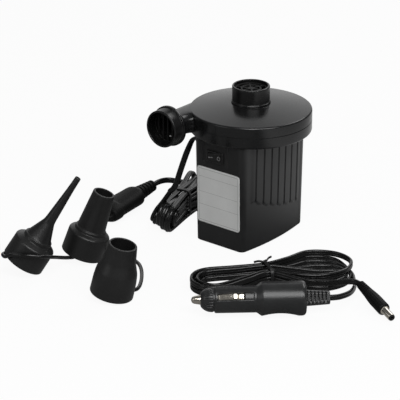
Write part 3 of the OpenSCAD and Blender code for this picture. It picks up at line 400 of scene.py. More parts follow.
# %% The plastics
housing_plastic = plastic("housing_plastic", grey(0.0115, -0.02), 0.42, grain=0.42, relief=0.05, uneven=0.5)
cover_plastic = plastic("cover_plastic", grey(0.007, -0.03), 0.22, grain=0.6, relief=0.012, uneven=0.35, dust=0.03)
spout_plastic = plastic("spout_plastic", grey(0.0035, -0.02), 0.27, grain=0.42, relief=0.04, uneven=0.4)
nozzle_plastic = plastic("nozzle_plastic", grey(0.0095), 0.38, grain=0.5, relief=0.03, uneven=0.5, rub_and_highlight=0.7)
grille_plastic = plastic("grille_plastic", grey(0.0025), 0.55, grain=0.4, relief=0.03, shine=0.3)
switch_plastic = plastic("switch_plastic", grey(0.009), 0.34, grain=0.35, relief=0.02)
plug_plastic = plastic("plug_plastic", grey(0.018, -0.02), 0.28, grain=0.5, relief=0.03, uneven=0.45)
grip_plastic = plastic("grip_plastic", grey(0.0045), 0.5, grain=0.4, relief=0.06, uneven=0.5, shine=0.14)
cord_jacket = plastic("cord_jacket", grey(0.005), 0.22, grain=1.2, relief=0.03, uneven=0.4, rub_and_highlight=0.2, dust=0.03)
tie_jacket = plastic("tie_jacket", grey(0.010), 0.4, grain=0.6, relief=0.02)
foot_rubber = plastic("foot_rubber", grey(0.02), 0.75, grain=0.35, relief=0.05, rub_and_highlight=0.2)
print("plastics:", sum(m.name.endswith(("plastic", "jacket", "rubber")) for m in bpy.data.materials))

# %% The metals
screw_steel = metal("screw_steel", (0.55, 0.55, 0.56, 1), 0.3)
nickel = metal("barrel_nickel", (0.80, 0.75, 0.66, 1), 0.18, uneven=0.18)
brass = metal("plug_brass", (0.78, 0.62, 0.34, 1), 0.25)
motor_steel = metal("motor_steel", (0.58, 0.58, 0.59, 1), 0.38)
copper = metal("winding_copper", (0.72, 0.33, 0.14, 1), 0.35)
bronze = metal("bush_bronze", (0.62, 0.44, 0.22, 1), 0.4)
print("metals:", ", ".join(m.name for m in (screw_steel, nickel, brass, motor_steel, copper, bronze)))

# %% [markdown]
# ## Cords
# The pump has a fixed mains flex that is folded into a tied hank beside the body, a loose 12 V lead
# in a flat hank with a car plug and a DC plug, and a thin tether that keeps the nozzles together.
# A curve object with a bevel would give round cords only. The two leads are twin flex, a figure of
# eight in section, so the section is carried along the path by hand: at every point the path gives
# a tangent, a second direction says which way the wide side of the flex faces, and the ring is laid
# in the plane across the tangent.

# %% Path and section
def smooth_line(points, step):
    """A Catmull-Rom curve through the points, its columns after the third carried along, at an even
    step: each span is the cubic 0.5 (2b + (c-a)t + (2a-5b+4c-d)t^2 + (3b-a-3c+d)t^3)."""
    p = np.asarray(points, float)
    p = np.vstack([2 * p[0] - p[1], p, 2 * p[-1] - p[-2]])
    a, b, c, d = p[:-3], p[1:-2], p[2:-1], p[3:]
    t = np.linspace(0, 1, 24, endpoint=False)[:, None, None]
    q = 0.5 * (2 * b + (c - a) * t + (2 * a - 5 * b + 4 * c - d) * t**2 + (3 * b - a - 3 * c + d) * t**3)
    q = np.vstack([q.transpose(1, 0, 2).reshape(-1, p.shape[1]), p[-2]])
    run = np.concatenate([[0], np.cumsum(np.linalg.norm(np.diff(q[:, :3], axis=0), axis=1))])
    even = np.linspace(0, run[-1], int(run[-1] / step) + 2)
    return np.stack([np.interp(even, run, column) for column in q.T], 1)


def relaxed(line, reach):
    """Each point becomes the average of its neighbours with weights that fall off to nothing at the
    given number of steps, so a stiff flex takes no sharp corner. Straight runs and both ends stay."""
    weight = np.convolve(np.ones(reach), np.ones(reach)) / reach**2
    padded = np.pad(line, ((reach - 1, reach - 1), (0, 0)), mode="reflect", reflect_type="odd")
    return np.stack([np.convolve(column, weight, "valid") for column in padded.T], 1)


def twin_section(spread, radius, sides=20):
    """Outline of two touching round cores: r(t) = spread |cos t| + sqrt(radius^2 - spread^2 sin^2 t)."""
    t = full_turn(sides)
    r = spread * np.abs(np.cos(t)) + np.sqrt(radius**2 - (spread * np.sin(t)) ** 2)
    return r * np.cos(t), r * np.sin(t)


def capped(rings):
    """Rings with one more at each end, shrunk to the middle of the end ring, so that the ends close."""
    first, last = (np.broadcast_to(rings[k].mean(0), rings[:1].shape) for k in (0, -1))
    return np.concatenate([first, rings, last])


def sweep(path, wide, section):
    """A section carried along a path: point + across * wide direction + deep * (tangent x wide)."""
    tangent = unit(np.gradient(path, axis=0))
    wide = np.broadcast_to(np.asarray(wide, float), path.shape)
    wide = unit(wide - tangent * np.sum(wide * tangent, 1, keepdims=True))
    across, deep = (np.asarray(part)[None, :, None] for part in section)
    return capped(path[:, None] + across * wide[:, None] + deep * np.cross(tangent, wide)[:, None])


def path_length(path):
    """Sum of the steps along a path, in metres, to the millimetre."""
    return round(float(np.linalg.norm(np.diff(path, axis=0), axis=1).sum() * MM), 3)


# %% [markdown]
# ### Mains flex
# The flex leaves a gland high on the left side, drops in front of its own hank and turns under it. The
# hank is seven loops that stand on edge beside each other, small ones inside large ones, pinched to
# a waist by a tie. They are written in the hank's own frame: s runs along it, l across it and z up.
# Each strand has a place of its own at the near bend, in the waist and at the far end, as folded
# strands do, and the last one comes round the far end to the plug.

# %% Mains hank
HANK_FOOT, WAIST_S = np.array([-57.5, -34.5, 0.0]), 24.5
along = unit([-7.0, 23.5, 0.0])
across = np.array([along[1], -along[0], 0.0])
# near bend (tip, across, radius, height), waist (across, top, bottom), far end (reach, across, top, bottom)
loops = [
    ((-4.6, -9.4, 5.6, 7.4), (-4.1, 19.3, 4.8), (58.0, -4.5, 25.4, 1.7)),
    ((-9.6, -4.0, 9.4, 11.2), (-1.0, 22.4, 1.7), (57.0, 0.2, 22.0, 1.7)),
    ((-15.4, 1.4, 10.2, 11.9), (2.1, 19.3, 4.8), (58.5, 4.8, 22.4, 1.8)),
    ((-9.0, 2.2, 6.8, 11.4), (0.4, 16.2, 7.9), (55.0, 4.9, 19.0, 5.2)),
    ((-4.8, 7.0, 3.3, 11.0), (5.0, 13.6, 10.7), (50.0, 9.2, 15.2, 8.6)),
    ((-9.4, 7.3, 6.7, 11.0), (5.2, 16.6, 7.8), (54.0, 9.6, 18.8, 5.4)),
    ((-17.8, 6.6, 10.0, 11.6), (5.2, 22.2, 1.7), (57.5, 9.8, 22.4, 1.8))]
far_ends = [(57.0, -9.5, 0.0, 1.7)] + [far for _, _, far in loops]


def in_hank(rows):
    """Places (s, l, z) in the mains hank as points of the whole object."""
    return HANK_FOOT + np.asarray(rows, float) @ np.array([along, across, UP])


def strand_points(near, waist, far):
    """One loop: forward along the top, down round a half circle at the near end and back below."""
    (tip, l, r, middle), (waist_l, *waist_z), (reach, far_l, *far_z) = near, waist, far
    a = np.radians([90.0, 128.0, 180.0, 232.0, 270.0])
    bend = np.column_stack([tip + r + r * np.cos(a), l + 1.5 * np.sin(a), middle + r * np.sin(a)])
    top, bottom = ([(reach, far_l + off, z), (0.72 * reach, 0.5 * (waist_l + far_l), 0.5 * (low + z)),
                    (WAIST_S, waist_l, low)] for off, z, low in zip((-1.2, 1.2), far_z, waist_z))
    return np.vstack([top, bend, bottom[::-1]])


def far_bend(last, following):
    """The turn up at the far end, from the bottom of one loop to the top of the following one."""
    (reach, l, _, low), (next_reach, next_l, high, _) = last, following
    c, s, t = np.array([(0.72, -0.69, 0.3), (1.0, 0.0, 0.5), (0.72, 0.69, 0.7)]).T
    radius = 0.5 * (high - low)
    return np.column_stack([0.5 * (reach + next_reach) + radius * c, l + (next_l - l) * t,
                            0.5 * (low + high) + radius * s])


folded = in_hank(np.vstack([np.vstack([far_bend(last, loop[2]), strand_points(*loop)])
                            for last, loop in zip(far_ends, loops)]))
print("mains hank of", len(folded), "points")

# %% Mains flex path
MAINS_EXIT, PLUG_REAR = np.array([-36.14, -22.66, 79.85]), np.array([-105.3, 1.0, 13.2])
gland_way, plug_way = np.array([-0.9972, -0.0727, -0.0166]), np.array([0.01391, -0.9961, -0.08716])
run_in = np.vstack([
    MAINS_EXIT - 2 * gland_way, MAINS_EXIT + 2.5 * gland_way,
    [(-40.9, -24.0, 77.4), (-42.5, -25.6, 72.0), (-44.9, -27.2, 64.4), (-49.1, -29.7, 49.1),
     (-52.4, -31.5, 36.8), (-57.2, -34.1, 29.6), (-61.6, -36.5, 21.8), (-66.1, -38.9, 15.0)],
    in_hank([(-2.7, -13.2, 8.6), (0.2, -13.2, 3.6), (7.0, -12.0, 1.7), (WAIST_S, -7.2, 1.7),
             (41.0, -8.4, 1.7), (57.0, -9.5, 1.7)])])
tail = np.vstack([
    in_hank([(65.0, 8.0, 3.6), (69.5, 2.0, 7.4), (70.0, -5.0, 10.6), (66.6, -11.0, 12.6)]),
    [(-91.6, 20.6, 13.6), (-97.2, 19.2, 14.0), (-102.6, 14.9, 14.4), (-105.2, 8.4, 14.0)],
    PLUG_REAR, PLUG_REAR + 2 * plug_way])
facing_run = [(0.0, 1.0, 0.1)] * 2 + [(0.2, 0.9, 0.0), (0.35, 0.8, 0.0), (0.667, 0.383, -0.314), (0.7, 0.3, -0.3),
                                      (0.7, 0.5, -0.2)] + [(0.3, 0.8, 0.3)] * 3 + [(-0.3, 0.7, 0.5)] + [across] * 5
facing_hank = across + 0.34 * np.sin(2.3 * np.arange(len(folded)))[:, None] * UP
facing_tail = [across, across, (0.3, 0.5, 0.8), (0.1, 0.2, 1.0)] + [(0.1, 0.1, 1.0)] * 6
mains_controls = np.hstack([np.vstack([run_in, folded, tail]), np.vstack([facing_run, facing_hank, facing_tail])])
mains_line = relaxed(smooth_line(mains_controls, 1.4), 4)
print("mains flex", path_length(mains_line[:, :3]), "m, lowest", round(mains_line[:, 2].min(), 2), "mm")

# %% [markdown]
# ### 12 V lead
# This lead is wound flat on the floor in five turns, pinched to a waist by a wire tie. The wide side
# of the flex stands upright, since a twin flex only bends easily the thin way. Each turn goes round
# 16 places: left end, waist and right end, with its own radius at each end, so the right-hand loops
# fan out as they do when a lead is folded by hand.

# %% 12 V lead path
LEFT_END, WAIST, RIGHT_END = np.array([46.6, -102.8]), np.array([67.0, -62.0]), np.array([92.6, -33.4])
LEAD_OUT, DC_REAR = np.array([142.2, -83.0, 13.1]), np.array([144.8, -47.4, 12.0])
CAR_TURN, dc_way = np.radians(42.0), np.array([0.9012, -0.3956, -0.1771])
car_axis = np.array([np.cos(CAR_TURN), np.sin(CAR_TURN), 0.0])
LOW, HIGH = 2.5, 7.4


def lead_turn(turn, following):
    """One turn in plan: round the right end from the near side, along the far side by way of the waist
    to the left end and back along the near side to where the following turn starts."""
    (left_r, waist, (near_r, ahead, far_r), z), next_r = turn, following[2][0]
    base = np.array([LEFT_END, 0.5 * (LEFT_END + WAIST), WAIST, 0.5 * (WAIST + RIGHT_END), RIGHT_END])
    heading = np.radians([63.4, 61.0, 57.5, 54.0, 51.7])
    u = np.stack([np.cos(heading), np.sin(heading)], 1)
    v = np.stack([np.sin(heading), -np.cos(heading)], 1)
    far, near = (np.array([left_r, waist + 0.45 * (left_r - waist), waist, waist + k * (r - waist), r])[:, None]
                 for r, k in ((far_r, 0.42), (next_r, 0.75)))
    h, mid, half = np.sqrt(0.5), 0.5 * (near_r - far_r), 0.5 * (near_r + far_r)
    left = base[0] + left_r * np.array([h * (v[0] - u[0]), -u[0], -h * (u[0] + v[0])])
    tip, side = ahead * u[4], half * v[4]
    right = base[4] + mid * v[4] + np.array([h * (tip + side), tip, h * (tip - side)])
    plan = np.vstack([right, (base - far * v)[::-1], left[::-1], base + near * v])
    z = np.broadcast_to(np.asarray(z, float), 4)
    level = np.interp(np.arange(16), [0, 3, 5, 7, 9, 12, 15], z[[0, 0, 1, 1, 2, 3, 3]])
    return np.column_stack([plan, level])


table = [  # left radius, half width at the waist, right end (near, ahead, far), height or (right, far, left, near)
    (17.4, 8.3, (31.0, 28.0, 27.5), LOW), (14.4, 5.5, (31.0, 25.2, 18.5), LOW), (11.4, 2.7, (23.0, 22.2, 9.5), LOW),
    (12.9, 4.5, (15.0, 19.2, -0.5), (LOW, HIGH, HIGH, HIGH)), (17.6, 8.2, (19.5, 28.6, 26.6), HIGH)]
turns = [lead_turn(turn, following) for turn, following in zip(table, table[1:] + table[:1])]
lead_line = smooth_line(np.vstack([
    LEAD_OUT - 2 * car_axis, LEAD_OUT + 2.5 * car_axis,
    [(145.4, -72.7, 11.4), (143.7, -58.7, 9.0), (136.0, -42.6, 6.0), (125.6, -28.9, 3.6), (113.7, -17.4, 2.5)],
    turns[0][2:], *turns[1:-1], turns[-1][:-1],
    [(111.5, -57.8, 7.6), (122.0, -52.4, 8.6), (131.6, -48.4, 10.8), (138.4, -46.2, 11.9)],
    DC_REAR, DC_REAR + 2 * dc_way]), 1.4)
print("12 V lead", path_length(lead_line), "m")

# %% Tether path
tether_points = np.array([
    (-98.1, -179.9, 15.0), (-97.6, -184.4, 16.3), (-95.6, -188.3, 17.0), (-90.4, -190.9, 17.6), (-83.5, -190.6, 21),
    (-75.6, -188.4, 22), (-69, -184.2, 22), (-64.4, -178.5, 20.8), (-63.3, -172.5, 18.8), (-63.9, -166.4, 16.3),
    (-67.6, -157.4, 12.0), (-70.2, -148.6, 8.0), (-72.4, -139.4, 4.2), (-72.6, -131.7, 2.2), (-76.5, -126.0, 1.7),
    (-71.0, -115.0, 1.6), (-60.0, -107.0, 1.6), (-43.5, -103.5, 1.6), (-28.7, -106.9, 1.6), (-18, -114.2, 1.6),
    (-6.9, -126.2, 1.6), (1.2, -137.4, 1.6), (5, -145, 2), (5.3, -150.2, 2.6)])
tether_line = smooth_line(tether_points, 1.4)
print("tether", path_length(tether_line), "m")

# %% Cord pieces
def cord_piece(name, path, wide, section, *nodes):
    """A cord with the black glossy jacket that all three have."""
    return make_piece(name, [tube(sweep(path, wide, section))], cord_jacket, nodes, 80)


mains_flex = cord_piece("mains_flex", mains_line[:, :3], mains_line[:, 3:], twin_section(1.0, 1.45),
                        "mains_cord_run", "mains_cord_hank", "mains_cord_tail")
car_lead = cord_piece("car_lead", lead_line, UP, twin_section(1.02, 1.32),
                      "car_lead_start", "car_lead_hank", "car_lead_end")
tether = cord_piece("tether_line", tether_line, (0.1, 0.1, 1), twin_section(0.0, 1.5, 14), "nozzle_tether")

# %% [markdown]
# ### Wire ties
# Each hank is held by a plastic-covered wire tie: a flat strip once round the bundle, its two ends
# twisted together twice and left sticking out. The strip is swept along a rounded rectangle, and the
# twist is two helices half a turn apart.

# %% Ties
def wire_tie(name, centre, ahead, half_width, height, knot, tails, node):
    """A strip round a bundle, in the plane across the way ahead, with a twisted knot and two tails.
    Knot and tails are given as (across, up, along) in the tie's own frame."""
    over = np.array([ahead[1], -ahead[0], 0.0])
    axes = np.array([over, UP, ahead])
    corners = [(-half_width, 0.7), (half_width, 0.7), (half_width, height), (-half_width, height)]
    ring = rounded(corners, 5.0, 7)
    ring = np.roll(ring, -np.argmin(np.hypot(*(ring - knot).T)), 0)
    band = centre + np.vstack([ring, ring[:1]]) @ axes[:2]
    strip = np.array([(-1.2, -0.4), (1.2, -0.4), (1.2, 0.4), (-1.2, 0.4)]).T
    grids = [tube(sweep(smooth_line(band, 1.2), ahead, strip))]
    root = centre + np.array(knot) @ axes[:2]
    t = np.linspace(0, 1, 26)[:, None]
    for turn, end in zip((0.0, np.pi), centre + np.array(tails) @ axes):
        neck = root + 0.175 * (end - root)
        coil = 0.75 * (np.cos(turn + 9.4 * t) * ahead + np.sin(turn + 9.4 * t) * over) * (1 - 0.3 * t)
        line = np.vstack([root + (neck - root) * t + coil, 0.5 * (neck + end) + 0.6 * UP, end])
        grids.append(tube(sweep(smooth_line(line, 0.7), (0.3, 0.2, 0.93), twin_section(0.35, 0.62, 10))))
    make_piece(name, grids, tie_jacket, (node,), 50)


wire_tie("mains_tie", in_hank((WAIST_S, -1.0, 0.0)), along, 9.9, 24.4, (-10.2, 11.0),
         [(-13.0, 8.0, -5.0), (-12.6, 14.0, 4.0)], "mains_cord_tie")
lead_heading = np.radians(58.0)
wire_tie("lead_tie", np.append(WAIST, 0.0), np.array([np.cos(lead_heading), np.sin(lead_heading), 0.0]), 10.9, 10.9,
         (-6.5, 11.2), [(-8.5, 11.0, -8.5), (-9.0, 13.4, 6.0)], "car_lead_tie")

# %% [markdown]
# ## Housing
# The housing is one tall moulding: a flat label face, two long bowed sides and rounded corners, a
# little wider at the top so that it leaves the mould. Box modelling with bevels would do, but the
# ribs want exact spacing, so the wall is a grid: one parameter goes round the outline, the other up.
# Every outline point knows its outward direction, and draft, grooves and ribs only say how far each
# grid point is pushed along it.

# %% Outline of the housing
HALF_W, FRONT, BACK, SIDE_R, SIDE_MID = 26.4, 40.0, 46.0, 220.0, -6.0
FRONT_R, BACK_R, DRAFT, TOP_Z, FOOT_H, FOOT_R, WALL = 5.0, 12.0, 1.5, 90.3, 0.8, 0.9, 2.2
GROOVE_STEP, GROOVES = 9.2, 7
GROOVE_Y = -26.5 + GROOVE_STEP * np.arange(GROOVES)


def side_x(y):
    """Half width of the housing at a place along it: a long arc of radius 220."""
    return HALF_W - SIDE_R + np.sqrt(SIDE_R**2 - (y - SIDE_MID) ** 2)


def draft_at(z):
    """How far the wall has moved outwards at a height."""
    return DRAFT * z / TOP_Z


def arc(centre, radius, start, stop, steps=7):
    """Points of an arc between two angles in degrees."""
    t = np.radians(np.linspace(start, stop, steps))
    return np.stack([centre[0] + radius * np.cos(t), centre[1] + radius * np.sin(t)], 1)


def close_to(places, reach, count):
    """A few values on both sides of each place."""
    return np.add.outer(places, np.linspace(-reach, reach, count)).ravel()


fx, bx = side_x(FRONT_R - FRONT) - FRONT_R, side_x(BACK - BACK_R) - BACK_R
low_turn = -np.arcsin((FRONT - FRONT_R + SIDE_MID) / (SIDE_R - FRONT_R))
high_turn = np.arcsin((BACK - BACK_R - SIDE_MID) / (SIDE_R - BACK_R))
y_low, y_high = SIDE_MID + SIDE_R * np.sin(low_turn), SIDE_MID + SIDE_R * np.sin(high_turn)
between = np.add.outer(GROOVE_Y[:-1], GROOVE_STEP * np.linspace(0.2, 0.8, 6)).ravel()
side_y = np.sort(np.concatenate([np.linspace(y_low, -28.0, 7), close_to(GROOVE_Y, 1.1, 13), between,
                                 np.linspace(30.2, y_high, 6)]))[1:-1]
front_x = np.sort(np.concatenate([np.linspace(0, fx, 16), close_to([8.8, 14.6], 1.1, 9), close_to([17.3], 0.6, 7),
                                  np.linspace(18.4, 19.4, 6)]))[:-1]
half = np.vstack([
    np.column_stack([front_x, np.full(len(front_x), -FRONT)]),
    arc((fx, FRONT_R - FRONT), FRONT_R, -90, np.degrees(low_turn), 12),
    np.column_stack([side_x(side_y), side_y]),
    arc((bx, BACK - BACK_R), BACK_R, np.degrees(high_turn), 90, 16),
    np.column_stack([np.linspace(bx, 0, 8), np.full(8, BACK)])[1:]])
half_turn = np.concatenate([np.full(len(front_x), -np.pi / 2), np.linspace(-np.pi / 2, low_turn, 12),
                            np.arcsin((side_y - SIDE_MID) / SIDE_R), np.linspace(high_turn, np.pi / 2, 16),
                            np.full(7, np.pi / 2)])
outline = np.vstack([half, half[-2:0:-1] * (-1, 1)])
out_turn = np.concatenate([half_turn, np.pi - half_turn[-2:0:-1]])
outward = np.stack([np.cos(out_turn), np.sin(out_turn)], 1)
print("outline of", len(outline), "points")

# %% Ribs and grooves
def bowl(d):
    """Depth of a round-bottomed groove of radius 1 mm at a distance from its middle: sqrt(1 - d^2)."""
    return np.sqrt(np.clip(1 - d**2, 0, 1))


def rib_relief(y, z):
    """Ribs stand 0.5 mm proud above a slanting, sagging line, each with a rounded end, and round-bottomed
    grooves run between them: depth = sqrt(1 - d^2) - 0.12 across, fading at the end."""
    line = 33.0 - 0.29 * y - 2.4 * np.clip(1 - ((y - 1.0) / 28.0) ** 2, 0, 1)
    step = (y - GROOVE_Y[0]) / GROOVE_STEP
    from_mid = 2 * np.abs(step - np.floor(step) - 0.5)
    edge = np.clip(np.minimum(step + 0.5, GROOVES - 0.5 - step) * GROOVE_STEP / 1.2, 0, 1)
    rise = np.clip((z - (line - 1.0 + 3.2 * from_mid**2)) / 1.8, 0, 1)
    proud = 0.5 * rise * rise * (3 - 2 * rise) * edge
    away = np.abs(y[..., None] - GROOVE_Y).min(-1)
    return proud - np.clip(bowl(away) - 0.12, 0, 1) * np.clip((z - line + 0.6) / 2.4, 0, 1)


def front_relief(x, z):
    """Two short upright grooves beside the switch, the left one deeper, with round lower ends, and two
    fine lines near the left corner."""
    left, right_cut = (np.clip(bowl(x - place) - 0.1, 0, 1) for place in (-14.6, 8.8))
    fine = sum(np.clip(1 - ((x + place) / 0.6) ** 2, 0, 1) for place in (17.3, 18.9))
    return -(left + 0.35 * right_cut + 0.3 * fine) * np.clip((z - 70.2) / 0.8, 0, 1)


def wall_points(offset, z):
    """Outline points pushed along their outward direction, at the given heights."""
    return np.concatenate([outline + offset[..., None] * outward, z[..., None]], -1)


# %% Wall of the housing
levels = np.sort(np.concatenate([
    FOOT_H + FOOT_R * (1 - np.cos(np.linspace(0, np.pi / 2, 5))), np.linspace(3.5, 21, 6), np.arange(22, 45, 0.45),
    np.linspace(46, 69, 9), np.linspace(69.5, 72, 8), np.linspace(74, TOP_Z, 7)]))
y_grid, z_grid = np.meshgrid(outline[:, 1], levels, indexing="xy")
x_grid = np.broadcast_to(outline[:, 0], y_grid.shape)
on_side, on_front = np.abs(np.cos(out_turn)) > 0.97, (out_turn < -1.5) | (out_turn > 4.65)
foot = np.clip((z_grid - FOOT_H) / FOOT_R, 0, 1)
push = (draft_at(z_grid) + np.where(on_side, rib_relief(y_grid, z_grid), 0)
        + np.where(on_front, front_relief(x_grid, z_grid), 0) - FOOT_R * (1 - bowl(1 - foot)))
inner_z = np.repeat(np.array([TOP_Z, 60.0, 30.0, FOOT_H + 2.4, FOOT_H])[:, None], len(outline), 1)
inner = wall_points(draft_at(inner_z) - WALL + 0.05, inner_z)
make_piece("housing", [torus(np.concatenate([wall_points(push, z_grid), inner]))], housing_plastic,
           ("body_shell",), 38)

# %% [markdown]
# ## Switch and label
# On the label face sit a snap-in rocker switch and a foil plate. Both are stacks of rounded
# rectangles: each row of the grid is the same outline, a little smaller and a little further out.
# The plate is left blank: only a printed frame and ruled lines. The two marks on the rocker are the
# usual bar and ring, laid on as thin pads so that they tilt with it.

# %% Rounded rectangles on the label face
LEAN = np.arctan(DRAFT / TOP_Z)
SWITCH_X, SWITCH_Z = -2.9, 77.0


def on_face(points, x, z):
    """Points given as (right, inwards, up) placed on the leaning label face at a place."""
    face_in, face_up = (0.0, np.cos(LEAN), np.sin(LEAN)), (0.0, -np.sin(LEAN), np.cos(LEAN))
    return moved(points, (x, -FRONT - draft_at(z), z), (1, 0, 0), face_in, face_up)


def rectangle_stack(half_w, half_h, corner, rows, steps=8):
    """Rounded rectangles, one per (inset, outwards) pair, as rows of a grid in (right, inwards, up)."""
    turn = np.add.outer(np.arange(4) * np.pi / 2, np.linspace(0, np.pi / 2, steps)).ravel()
    sx, sz = np.repeat([1, -1, -1, 1], steps), np.repeat([1, 1, -1, -1], steps)
    inset, out = np.asarray(rows, float)[..., None].transpose(1, 0, 2)
    w, h = np.maximum(half_w - inset, 0), np.maximum(half_h - inset, 0)
    r = np.minimum(np.maximum(corner - inset, 0.02), np.minimum(w, h))
    x, z = sx * (w - r) + r * np.cos(turn), sz * (h - r) + r * np.sin(turn)
    return np.stack([x, np.broadcast_to(-out, x.shape), z], -1)


rim_rows = [(0.9, -6.0), (0.9, -0.3), (0.0, -0.3), (0.0, 0.75), (0.12, 1.05), (0.4, 1.2), (1.35, 1.2), (1.6, 1.12),
            (1.75, 0.9), (1.75, -6.0)]
make_piece("switch_bezel", [torus(on_face(rectangle_stack(8.5, 4.8, 1.1, rim_rows), SWITCH_X, SWITCH_Z))],
           switch_plastic, ("switch_frame",), 40)

# %% Rocker
HALF_TRAVEL, ROCKER_W = np.radians(11.0), 6.35
rocker_side = np.array([(-0.9, -3.4), (-0.45, -2.62), (0, -2.25), (0.45, -2.62), (0.9, -3.4), (0.94, -0.6),
                        (2.4 / ROCKER_W, 3.2), (-2.4 / ROCKER_W, 3.2), (-0.94, -0.6)]) * (ROCKER_W, 1)
rocker_side = rounded(rocker_side, [0.5, 1.6, 1.6, 1.6, 0.5, 0.8, 0.5, 0.5, 0.8], 6)
place_z, inset = np.array([(-2.95, 0.35), (-2.85, 0.1), (-2.6, 0.0), (2.6, 0.0), (2.85, 0.1), (2.95, 0.35)]).T
middle = np.array([0.0, -0.8])
sides = middle + (rocker_side - middle) * (1 - inset / 5.0)[:, None, None]
rocker_grid = capped(np.dstack([sides, np.broadcast_to(place_z[:, None], sides.shape[:2])]))


def on_rocker(points):
    """Rocker points turned by half its travel about its own pin and put in the switch."""
    c, s = np.cos(HALF_TRAVEL), np.sin(HALF_TRAVEL)
    turned_points = moved(points, (0, 1.2, 0), (c, s, 0), (-s, c, 0), UP)
    return on_face(turned_points, SWITCH_X, SWITCH_Z)


def on_rocker_face(x, z):
    """A mark on the hollow face of the rocker, a valley between its two raised ends, 0.04 mm above it."""
    return on_rocker(np.stack([x, np.interp(x, rocker_side[:30, 0], rocker_side[:30, 1]) - 0.04, z - 0.2], -1))


make_piece("rocker_cap", [tube(on_rocker(rocker_grid))], switch_plastic, ("rocker",), 40,
           "switch_rocker")
mark_ink = plastic("mark_ink", grey(0.2), 0.5, grain=0.3, relief=0.005, rub_and_highlight=0.0, dust=0.0)
bar_mark = on_rocker_face(*np.meshgrid(np.linspace(-5.3, -1.9, 9), [-0.27, 0.27]))
ring_turn, ring_r = full_turn(40), np.array([[1.2], [1.7]])
ring_mark = on_rocker_face(3.6 + ring_r * np.cos(ring_turn), ring_r * np.sin(ring_turn))
marks = make_piece("rocker_marks", [(bar_mark, False, False), tube(ring_mark)], mark_ink,
                   body="switch_rocker")
marks.modifiers.new("ink", "SOLIDIFY").thickness = 0.00005

# %% Foil plate
foil = bpy.data.materials.new("label_foil")
tree = cleared_tree(foil)
place = add_node(tree, "SeparateXYZ", {0: add_node(tree, "TexCoord").outputs["Object"]}).outputs
across_x = maths(tree, "ABSOLUTE", place["X"])
up_z = maths(tree, "ABSOLUTE", maths(tree, "SUBTRACT", place["Z"], 0.042))
inside_x, inside_z = maths(tree, "LESS_THAN", across_x, 0.0199), maths(tree, "LESS_THAN", up_z, 0.0224)
rules = 0.0
for value, at, half_line, inside in [(across_x, 0.0197, 0.00014, inside_z), (up_z, 0.0222, 0.00014, inside_x)] + [
        (place["Z"], height, 0.00011, inside_x) for height in (0.0575, 0.0445, 0.0335)]:
    line = maths(tree, "MULTIPLY", maths(tree, "COMPARE", value, at, half_line), inside)
    rules = maths(tree, "MAXIMUM", rules, line)
texture = add_node(tree, "Group", node_tree=moulded_grain, inputs={
    "Tone": (0.63, 0.635, 0.625, 1), "Roughness": 0.4, "Grain Size": 0.28, "Unevenness": 0.22}).outputs
colour = blend_colour(tree, maths(tree, "MULTIPLY", rules, 0.6), texture["Colour"], (0.05, 0.05, 0.052, 1))
finished(foil, tree, texture["Height"], 0.25, 0.00002, {
    "Base Color": colour, "Roughness": texture["Roughness"], "Metallic": 0.2})
plate_rows = [(21.5, -0.25), (0.0, -0.25), (0.0, 0.06), (0.06, 0.12), (0.6, 0.13), (10.0, 0.13), (21.5, 0.13)]
make_piece("foil_plate", [tube(on_face(rectangle_stack(21.5, 24.0, 2.5, plate_rows, 10), 0.0, 42.0))], foil,
           ("label_plate",), 50)

# %% [markdown]
# ## Fan casing, cover and ports
# The fan casing and its cover are two turned shells that meet at a seam half way up the rim, with a
# round-shouldered neck leading to the round outlet. Each shell is a closed profile spun round the
# fan axis. The neck is a section carried forward: it is widest where it runs into the rim, so that
# the inside corner is filled the way a mould has to be.

# %% Casing profiles
CASING_R, RIM_H, DOME, COLLAR_Z, COLLAR_TOP = 49.0, 18.1, 4.5, 112.9, 126.8
SEAM_Z, RIM_Z, SEAT_R, RIM_ROUND = TOP_Z + RIM_H * 0.51, TOP_Z + RIM_H, 15.6, 1.6
PORT_R, BORE_R, LIP = 15.1, 13.4, 0.6
round_r, inner_r = CASING_R - RIM_ROUND, CASING_R - WALL
dome_r = np.linspace(SEAT_R, round_r, 26)
dome_z = COLLAR_Z - DOME * ((dome_r - SEAT_R) / (round_r - SEAT_R)) ** 1.4
cover_profile = np.vstack([
    [(BORE_R, COLLAR_Z - WALL), (BORE_R, COLLAR_Z)], np.stack([dome_r, dome_z], 1)[:-1],
    arc((round_r, RIM_Z - RIM_ROUND), RIM_ROUND, 82, 0, 9),
    [(CASING_R, SEAM_Z + 0.3), (CASING_R - LIP, SEAM_Z + 0.26), (CASING_R - LIP, SEAM_Z), (inner_r, SEAM_Z),
     (inner_r, RIM_Z - 2.4)], np.stack([dome_r - 1.0, dome_z - WALL], 1)[::-3]])
casing_profile = np.vstack([
    [(CASING_R - LIP, SEAM_Z), (CASING_R - LIP, SEAM_Z - 0.26), (CASING_R, SEAM_Z - 0.3)],
    arc((round_r, TOP_Z + RIM_ROUND), RIM_ROUND, 0, -90, 9),
    [(30.0, TOP_Z), (7.0, TOP_Z), (7.0, TOP_Z + 2.5), (30.0, TOP_Z + 2.5), (inner_r - 1, TOP_Z + 2.5),
     (inner_r, TOP_Z + 3.5), (inner_r, SEAM_Z)]])
print("seam at", round(SEAM_Z, 2), "mm, rim at", round(RIM_Z, 2), "mm")

# %% Neck
SPOUT_X, SPOUT_REACH, SPOUT_LEN, SPOUT_Z, RING_R = -37.7, 66.4, 12.0, TOP_Z + RIM_H / 2, 16.4
NECK_W, NECK_END, NECK_POWER, HALF_STEPS = 22.0, 54.4, 2.6, 33


